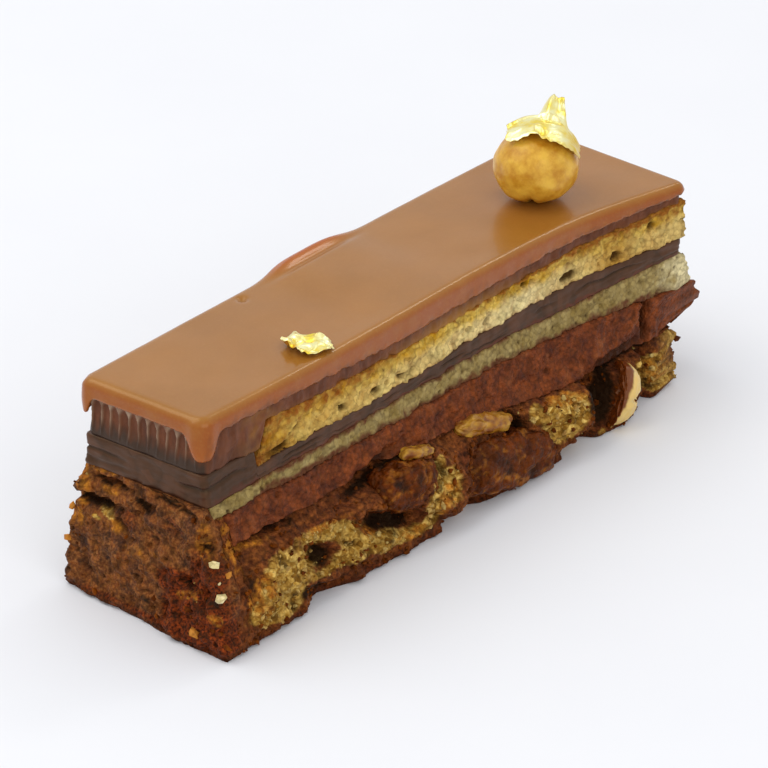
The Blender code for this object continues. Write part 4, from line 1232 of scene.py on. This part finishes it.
# %% Chocolate lumps
# Each is (name, middle, half sizes, turns about X, Y and Z, seed, how crumbly it is).
LUMPS = (
    ("chocolate_lump_large", (10.8, -17.1, 5.6), (12.4, 3.6, 4.5), (0, 11, 1), 20, 0.9),
    ("chocolate_lump_middle", (-15.4, -16.4, 11.4), (6.8, 3.4, 4.0), (0, 8, -5), 21, 1.3),
    ("chocolate_lump_back", (14.0, 18.2, 6.6), (6.8, 3.4, 4.6), (0, 8, 0), 22, 1.2),
)
lump_finish = crumb_material("chocolate_soaked_lump", "70381C 421B10 160603 A8661E", 2.8, 0.8, 0.35, 0.5)
# Golden crumbs that the lumps caught, and where painted shade darkens them, read along the same line of
# sight.
LUMP_CRUMBS = (
    (4.6, 1.6, 2.2, 0.9, 1.0, 0.0), (10.6, 3.0, 2.4, 0.9, 1.0, -0.5), (14.0, 1.0, 3.4, 0.8, 0.8, 0.0),
    (12.2, 7.4, 1.2, 1.3, 0.9, 0.0), (0.6, 8.2, 1.4, 0.8, 0.8, 0.0), (17.6, 10.2, 0.8, 1.8, 0.9, 0.0),
    (-21.0, 11.8, 5.0, 0.9, 0.7, 0.0), (-18.0, 15.8, 4.6, 1.2, 0.8, 0.0), (-11.6, 13.0, 1.6, 2.4, 0.8, -0.6),
    (7.5, 4.2, 1.8, 0.8, 0.7, 0.0), (20.0, 3.0, 1.6, 1.0, 0.7, 0.0),
)
LUMP_SHADE = (
    (2.5, 10.6, 4.6, 2.6, 1.0, -0.2), (-13.2, 12.6, 0.8, 1.4, 2.0, 0.0), (9.0, 6.0, 5.0, 2.0, 0.6, -0.3),
)


def lump_form(centre, half, turns, seed, crumbly):
    """A blunt ball: each direction over the cube root of its summed cubes, roughened and given grains."""

    def form(d):
        blunt = d / np.power((np.abs(d) ** 3).sum(1), 1 / 3)[:, None]
        rough = 1 + 0.09 * wander(d, 0.7, seed)
        points = placed(blunt * rough[:, None] * np.array(half), centre, turns)
        folds = 0.5 * wander(points, 3.2, seed + 42, 3)
        fine = 0.45 * (grains(points, 1.7, seed + 40) - 0.55)
        fine = fine + 0.22 * (grains(points, 0.9, seed + 41) - 0.55)
        return points + (crumbly * fine + folds)[:, None] * d

    return form


for name, centre, half, turns, seed, crumbly in LUMPS:
    points, faces, directions = ball(lump_form(centre, half, turns, seed, crumbly), 240, 120)
    points[:, 2] = np.maximum(points[:, 2], 0.1)
    across, up = seen(points)
    # Painted shade in the creases and on the placed darkest parts.
    crease_shade = np.clip(-1.4 * wander(points, 3.2, seed + 42, 3) - 0.3, 0, 0.8)
    lump_shade = 0.35 * features(LUMP_SHADE, across, up) * (points[:, 1] < 0)
    ragged = clamp(0.55 + 1.1 * wander(points, 1.1, seed + 44, 3))
    caught = patch(LUMP_CRUMBS, across, up, points, seed + 43, 1.6) * ragged * (points[:, 1] < 0)
    caught = np.maximum(caught, np.clip(1.3 * wander(points, 1.6, seed + 45, 3) - 0.45, 0, 0.6))
    make_piece(name + "_rough", points, faces, lump_finish, [name],
               {"shade_and_blotches": np.clip(np.maximum(crease_shade, lump_shade), 0, 0.8), "stain": np.clip(caught, 0, 0.9)})

# %% [markdown]
# Roasted hazelnut is golden and a little waxy, with darker freckles where the skin has gone. The broken
# pieces in the cake are paler inside and carry chocolate on one side, so the finish reads how much of it
# there is.

# %% Nut finish and pieces in the cake
nut_finish, tree, shader, place = new_material(
    "roasted_hazelnut", Roughness=0.36, Specular_IOR_Level=0.5, Specular_Tint=linear("FFE8B8"),
    Subsurface_Weight=0.12, Subsurface_Scale=1.2 * MM, Subsurface_Radius=(1.0, 0.55, 0.2),
    Coat_Weight=0.15, Coat_Roughness=0.3,
)
patches, skin = noise(tree, place, 3.2, 5, 0.6), noise(tree, place, 1.2, 3)
colour = mix(tree, ranged(tree, patches, 0.36, 0.62), "B87C18", "DCAC3C")
colour = mix(tree, mesh_value(tree, "inside"), colour, "E2C274")
colour = mix(tree, mesh_value(tree, "coated"), colour, "6C300A")
finish_with(tree, shader, colour, combine(tree, "ADD", patches, skin), 0.2, 0.5)

WEDGES = (
    ("hazelnut_wedge", (6.6, -15.3, 13.6), (6.3, 2.3, 1.6), (8, 13, -2), 23),
    ("hazelnut_chip", (-11.3, -16.2, 15.9), (3.2, 1.2, 0.9), (0, 10, -8), 24),
)
for name, centre, half, turns, seed in WEDGES:
    points, faces, directions = ball(lump_form(centre, half, turns, seed, 0.35), 110, 56)
    smeared = clamp(0.5 + 0.8 * wander(points, 1.2, seed + 60, 3) - 0.25 * directions[:, 2])
    make_piece(name + "_broken", points, faces, nut_finish, [name],
               {"inside": np.zeros(len(points)), "coated": 0.3 + 0.65 * smeared})

HALF_NUTS = (
    ("hazelnut_half", (40.6, -16.4, 6.1), (6.0, 4.6, 4.4), (0, 104, -30), 40),
    ("hazelnut_half_back", (-12.5, 16.2, 8.6), (6.8, 6.4, 3.6), (-8, 20, 0), 41),
)


def half_nut_form(centre, half, turns, seed):
    """Half a hazelnut: a dome on one side, and nearly flat, with a shallow hollow, on the other."""

    def form(d):
        points = d * np.array(half)
        flat = points[:, 2] < 0
        reach = np.hypot(d[:, 0], d[:, 1])
        points[flat, 2] = points[flat, 2] * 0.12 + 0.35 * (1 - reach[flat]) ** 2
        points += 0.12 * wander(d, 0.8, seed)[:, None] * d
        bitten = -0.9 * bell(d[:, 0], -0.05, 0.12) * clamp(d[:, 2])
        uneven = 0.22 * wander(d * half, 2.6, seed + 2, 3) + flat * 0.7 * wander(d * half, 1.6, seed + 3, 3)
        points += (uneven + bitten)[:, None] * d
        return placed(points, centre, turns)

    return form


for name, centre, half, turns, seed in HALF_NUTS:
    points, faces, directions = ball(half_nut_form(centre, half, turns, seed), 120, 60)
    points[:, 2] = np.maximum(points[:, 2], 0.05)
    edge = 0.16 - 0.35 * directions[:, 0] * (name == "hazelnut_half")
    coat = clamp((edge - directions[:, 2] + 0.14 * wander(points, 2.0, seed + 5, 3)) * 8)
    make_piece(name + "_meat", points, faces, nut_finish, [name],
               {"inside": np.full(len(points), 0.85), "coated": coat})

# %% [markdown]
# ## The whole hazelnut
# It rests on the glaze on a blunt end. A roasted kernel is never a sphere: it is flat below, has a soft
# cleft where its two halves meet, and dents left by the skin.

# %% The whole hazelnut
NUT_AT, NUT_R, CLEFT_ANGLE = (36.8, -1.1), (7.5, 7.2, 6.8), 2.62


def nut_radius(direction):
    """How far the surface is from the nut's middle: blunt below, with a soft point and a cleft."""
    x, y, z = direction.T
    base = 1 - 0.10 * clamp(-z) ** 3
    cleft = -0.10 * bell(np.arctan2(y, x), -CLEFT_ANGLE, 0.22) * clamp(0.3 - z)
    return base + cleft + 0.03 * wander(direction, 0.9, 50)


def whole_nut(d):
    dents = 0.012 * wander(d, 0.35, 51, 2) - 0.02 * pores(d, 0.8, 52, 0.28)
    points = d * (nut_radius(d) + dents)[:, None] * np.array(NUT_R)
    return points + np.array((*NUT_AT, TOP_Z + 0.05 - points[:, 2].min()))


points, faces, directions = ball(whole_nut, 200, 100)
make_piece("hazelnut_whole_roasted", points, faces, nut_finish, ["hazelnut_whole"],
           {"inside": np.zeros(len(points)), "coated": np.zeros(len(points))})

# %% [markdown]
# ## Gold leaf
# Real leaf is a ten-thousandth of a millimetre thick, and clings and crumples into sharp folds. The surface
# is a grid that is bent by a rule and creased by a noise whose sign is dropped, and Solidify gives it just
# enough thickness to be a closed body. Gold is a metal: its colour is its reflection, with almost no
# roughness.

# %% Gold leaf
gold_finish, tree, shader, place = new_material("gold_leaf", Metallic=1.0, Roughness=0.3)
wear_and_highlight = mix(tree, ranged(tree, noise(tree, place, 2.4, 4), 0.35, 0.6), "F6DA50", "FEF8BC")
# Painted shade: darker gold on the leaf's drooping side and in its sharp creases.
colour = mix(tree, mesh_value(tree, "fold_shade"), wear_and_highlight, "CFA01C")
finish_with(tree, shader, colour, noise(tree, place, 1.6, 2, distortion=1.0), 0.2, 0.5)

# Level directions to the side and towards the finished end's front corner, for someone who looks at it.
SIDE, NEAR = np.array((0.66, -0.75, 0.0)), np.array((-0.75, -0.66, 0.0))
LEAF_THICKNESS, STRIP_UP, SHARP_FOLD = 0.08, 4.5, 0.85
FLAKE_AT, FLAKE_HALF = (-30.3, -8.8), (5.3, 4.0)


def ripple(s, t, rate, seed):
    """Noise over the leaf's own two coordinates."""
    return unit_noise(np.stack([s * rate, t * rate, 0 * s + 0.5], -1), seed)


def creases(s, t, rate, seed):
    """Sharp folds: 1 along the lines where the noise changes sign, falling off on both sides."""
    return 1 - np.minimum(1, np.abs(ripple(s, t, rate, seed)) * 2.4)


def leaf_piece(name, form, count_s, count_t, node):
    """A grid of the leaf's own two coordinates, bent by its form and given a thickness."""
    s, t = (a.ravel() for a in np.meshgrid(np.linspace(-1, 1, count_s), np.linspace(-1, 1, count_t)))
    index = np.arange(count_s * count_t).reshape(count_t, count_s)
    faces = np.stack([index[:-1, :-1], index[:-1, 1:], index[1:, 1:], index[1:, :-1]], -1).reshape(-1, 4)
    points, folds = form(s, t)
    piece = make_piece(name, points, faces.tolist(), gold_finish, [node], {"fold_shade": folds})
    wall = piece.modifiers.new("thickness", "SOLIDIFY")
    wall.thickness, wall.offset = LEAF_THICKNESS * MM, 0.0


def cap_leaf(s, t):
    """Over the nut's crown: angles down one side and across give a direction, the nut's size and a lift give
    the distance, and a strip at the far edge is raised on end."""
    down = 0.30 + 0.98 * s * (1 + 0.10 * ripple(t * 0 + 1.3, t, 4.0, 64))
    ragged = 1 + 0.22 * ripple(s, t, 2.6, 60) + 0.12 * ripple(s, 0 * t, 7.0, 65)
    across = (-0.08 + 0.58 * t) * (1.0 - 0.28 * s * s) * ragged
    lean = SIDE * (np.sin(down) * np.cos(across))[:, None] + NEAR * np.sin(across)[:, None]
    lean[:, 2] = np.cos(down) * np.cos(across)
    crease = creases(s, t, 1.4, 66)
    lift = 0.5 + 0.3 * ripple(s, t, 2.0, 61) + 0.4 * crease + 0.08 * creases(s, t, 4.0, 67)
    points = np.array((*NUT_AT, TOP_Z + 0.1 + NUT_R[2])) + lean * (np.array(NUT_R) + lift[:, None])
    strip = clamp((-t - 0.25) / 0.75) * clamp(1.9 - np.abs(s - 0.14) / 0.22)
    flare = SIDE * 1.1 - NEAR * 0.5 + np.array((0, 0, STRIP_UP))
    raised = strip + 0.12 * strip * ripple(s, 0 * t, 9.0, 74)
    # Painted shade on the side that droops down the nut and in the sharp creases.
    folds = np.clip(1.1 * clamp(s - 0.3) + 0.3 * (crease > SHARP_FOLD), 0, 0.85)
    return points + flare * raised[:, None], folds


def flat_leaf(s, t):
    """On the glaze: an uneven round sheet, each place at a share of the edge's wandering distance from the
    middle, lifted in sharp folds, with its near left side curled up."""
    far = np.maximum(np.abs(s), np.abs(t))
    turn = np.arctan2(t, s)
    way = np.cos(turn), np.sin(turn)
    out = far * (0.92 + 0.16 * ripple(*way, 1.3, 62) + 0.10 * ripple(*way, 4.0, 68))
    s, t = out * way[0], out * way[1]
    crease = creases(s, t, 1.3, 69)
    curled = clamp((-s + 0.6 * t - 0.45) / 0.6)
    lift = 0.2 + 0.5 * np.abs(ripple(s, t, 1.5, 63)) + 0.8 * crease
    lift = lift + 0.25 * creases(s, t, 3.0, 73) + 1.2 * curled
    points = SIDE * (FLAKE_HALF[0] * s + 1.5 * curled)[:, None] + NEAR * (FLAKE_HALF[1] * t)[:, None]
    points[:, :2] += FLAKE_AT
    points[:, 2] = TOP_Z + 0.15 + lift * np.clip((1.05 - out) * 5, 0.25, 1)
    # Painted shade on the curled side and in the sharp creases.
    folds = np.clip(1.1 * curled * (ripple(s, t, 3.0, 75) > -0.1) + 0.35 * (crease > SHARP_FOLD), 0, 0.95)
    return points, folds


leaf_piece("gold_leaf_crumpled_cap", cap_leaf, 110, 80, "gold_leaf_on_nut")
leaf_piece("gold_leaf_crumpled_flake", flat_leaf, 100, 90, "gold_leaf_flake")

# %% [markdown]
# ## Loose crumbs
# Crumbs cling wherever the knife passed. Scattering with particles would be lost on export, so one small
# rough stone is copied with numpy: a table of places on the cake's own surface, a turn and a size for each.

# %% Loose crumbs
def stone():
    """Corners and faces of a twenty-sided stone, worked out from the three golden rectangles in it."""
    golden_ratio = (1 + 5**0.5) / 2
    one = np.array([(0, a, b * golden_ratio) for a in (-1, 1) for b in (-1, 1)])
    corners = np.concatenate([np.roll(one, k, 1) for k in range(3)]) / math.hypot(1, golden_ratio)
    apart = np.linalg.norm(corners[:, None] - corners[None], axis=2)
    joined = np.isclose(apart, apart[apart > 0.1].min(), atol=1e-3)
    sides = []
    for i, j, k in np.argwhere(joined[:, :, None] & joined[None] & joined[:, None]):
        outward = np.cross(corners[j] - corners[i], corners[k] - corners[i]) @ corners[i] > 0
        if outward and i < min(j, k):
            sides.append((i, j, k))
    return corners, np.array(sides)


def crumb_cloud(places, outwards, sizes, seed):
    """Copies of the stone, each stretched and turned at random and pushed half into the surface."""
    rng = np.random.default_rng(seed)
    corners, sides = stone()
    count = len(places)
    turn = np.linalg.qr(rng.normal(size=(count, 3, 3)))[0]
    turn *= np.sign(np.linalg.det(turn))[:, None, None]
    rough = rng.uniform(0.5, 1.3, (count, 12, 1)) * corners * rng.uniform(0.5, 1.15, (count, 1, 3))
    points = np.einsum("nij,nkj->nki", turn, rough) * sizes[:, None, None]
    points += (places + outwards * sizes[:, None] * 0.2)[:, None]
    faces = (np.arange(count)[:, None, None] * 12 + sides[None]).reshape(-1, 3)
    return points.reshape(-1, 3), faces.tolist()


def stuck_crumbs(name, material, picked, sizes, seed, stain=0.0):
    """Crumbs that sit on the cake's own points, one piece for each kind."""
    u, v = cake_u[picked], cake_v[picked]
    outwards = np.stack([(u == 1) * 1.0 - (u == 0), (v == 1) * 1.0 - (v == 0), 0 * u + 0.25], 1)
    points, faces = crumb_cloud(cake_points[picked], outwards, sizes, seed)
    points[:, 2] = np.maximum(points[:, 2], 0.05)
    values = {"shade_and_blotches": np.zeros(len(points)), "stain": np.full(len(points), stain)}
    piece = make_piece(name, points, faces, material, [], values)
    piece.data.shade_flat()


def scatter(name, material, count, chance, low, high, seed):
    """Crumbs drawn with the given chance at each of the cake's points, the small ones most often."""
    rng = np.random.default_rng(seed)
    picked = rng.choice(len(cake_points), count, replace=False, p=chance / chance.sum())
    stuck_crumbs(name, material, picked, rng.uniform(0, 1, count) ** 2.5 * (high - low) + low, seed)


x, y, z = cake_points.T
on_side = (z > 0.5) & (z < cake_top(x) - 0.6) & (cake_w < 0.97)
golden_crumb = crumb_material("golden_crumb", "CBB274 A67E4A 6A4418 C4741C", 2.0, 0.7, 0.2, 0.8)
brown_crumb = crumb_material("brown_crumb", "7C421E 4A1F0B 2A1008 3A1A0E", 2.0, 0.7, 0.2, 0.7)
white_crumb = crumb_material("white_crumb", "EBDDB4 D8C48C A08850 C0A060", 2.0, 0.7, 0.2, 0.8)
pale_share = crumb_share(cake_points, cake_u, cake_v) + 0.01 + 0.05 * (cake_u == 0) * (y < -8)
face_share = np.where(cake_u == 0, 0.12 + 0.9 * (np.abs(y) > 12), 1.0)
dark_share = face_share * (1.1 - 0.8 * clamp(pale_share))
scatter("crumbs_golden", golden_crumb, 900, on_side * pale_share, 0.15, 0.7, 101)
scatter("crumbs_brown", brown_crumb, 1500, on_side * dark_share, 0.15, 0.8, 102)

# A few larger crumbs stand out by their place: near the base's front corner and along the finished end.
# Each is (place, half size), and a stain turns the golden ones orange.
WHITE_CRUMBS = (((-61.3, -19.2, 10.9), 1.3), ((-61.0, -20.8, 17.6), 0.9), ((-61.2, -19.4, 13.8), 0.35))
ORANGE_CRUMBS = (
    ((-61.3, -14.2, 3.2), 1.5), ((-61.0, 15.6, 9.1), 1.0),
    ((-61.0, 15.0, 15.2), 0.7), ((-60.0, -20.5, 15.4), 0.8),
)
for name, material, crumbs, seed, stain in (
    ("crumbs_white_large", white_crumb, WHITE_CRUMBS, 118, 0.0),
    ("crumbs_golden_large", golden_crumb, ORANGE_CRUMBS, 119, 0.75),
):
    nearest = [int(((cake_points - place) ** 2).sum(1).argmin()) for place, _ in crumbs]
    stuck_crumbs(name, material, nearest, np.array([size for _, size in crumbs]), seed, stain)

# %% [markdown]
# ## Floor, light and camera
# A pale sheet, one large soft light high on the left and a weaker fill from the front give open shadows,
# and a small light far behind on the right draws the glaze's edge. The camera looks down at 28 degrees at
# the bar's front corner, from the far end of a long lens, so that upright edges stay nearly parallel.

# %% Floor and light
FLOOR_HALF, AIM = 2.0, Vector((0, 0, 0.02))

floor_finish, tree, shader, place = new_material("pale_paper", Roughness=0.9)
paper = mix(tree, noise(tree, place, 40, 3), "E6E6E8", "EAEAEB")
tree.links.new(paper, shader.inputs["Base Color"])
mesh = bpy.data.meshes.new("floor")
corners = [(FLOOR_HALF * x, FLOOR_HALF * y, 0) for x, y in ((-1, -1), (1, -1), (1, 1), (-1, 1))]
mesh.from_pydata(corners, [], [(0, 1, 2, 3)])
mesh.materials.append(floor_finish)
floor = bpy.data.objects.new("floor", mesh)
bpy.context.scene.collection.objects.link(floor)

bpy.context.scene.view_settings.view_transform = "Standard"
world = bpy.data.worlds.new("studio")
bpy.context.scene.world = world
world.use_nodes = True
sky = world.node_tree.nodes["Background"]
sky.inputs["Color"].default_value, sky.inputs["Strength"].default_value = linear("F4F6FA"), 0.95


def softbox(name, place, size, watts):
    """A square area light that faces the middle of the bar."""
    data = bpy.data.lights.new(name, "AREA")
    data.size, data.energy = size, watts
    light = bpy.data.objects.new(name, data)
    light.location = place
    light.rotation_euler = (AIM - Vector(place)).to_track_quat("-Z", "Y").to_euler()
    bpy.context.scene.collection.objects.link(light)


softbox("key_softbox", (-0.30, 0.30, 0.80), 0.7, 2.6)
softbox("crest_softbox", (0.62, -0.02, 0.72), 0.12, 0.35)
softbox("fill_softbox", (-0.3, -0.75, 0.55), 0.6, 1.4)

# %% Camera
AZIMUTH, ELEVATION, DISTANCE = math.radians(-48.46), math.radians(28.04), 0.8
level = math.cos(ELEVATION)
back = Vector((math.sin(AZIMUTH) * level, -math.cos(AZIMUTH) * level, math.sin(ELEVATION)))
right = Vector((math.cos(AZIMUTH), math.sin(AZIMUTH), 0))
data = bpy.data.cameras.new("camera")
data.sensor_width, data.lens = 36.0, 223.0
data.shift_x, data.shift_y = -0.00487, -0.01169
data.clip_start, data.clip_end = 0.01, 20.0
camera = bpy.data.objects.new("camera", data)
turned = Matrix((right, back.cross(right), back)).transposed().to_4x4()
turned.translation = AIM + back * DISTANCE
camera.matrix_world = turned
bpy.context.scene.collection.objects.link(camera)
bpy.context.scene.camera = camera
print("camera at", [round(c, 3) for c in camera.location])
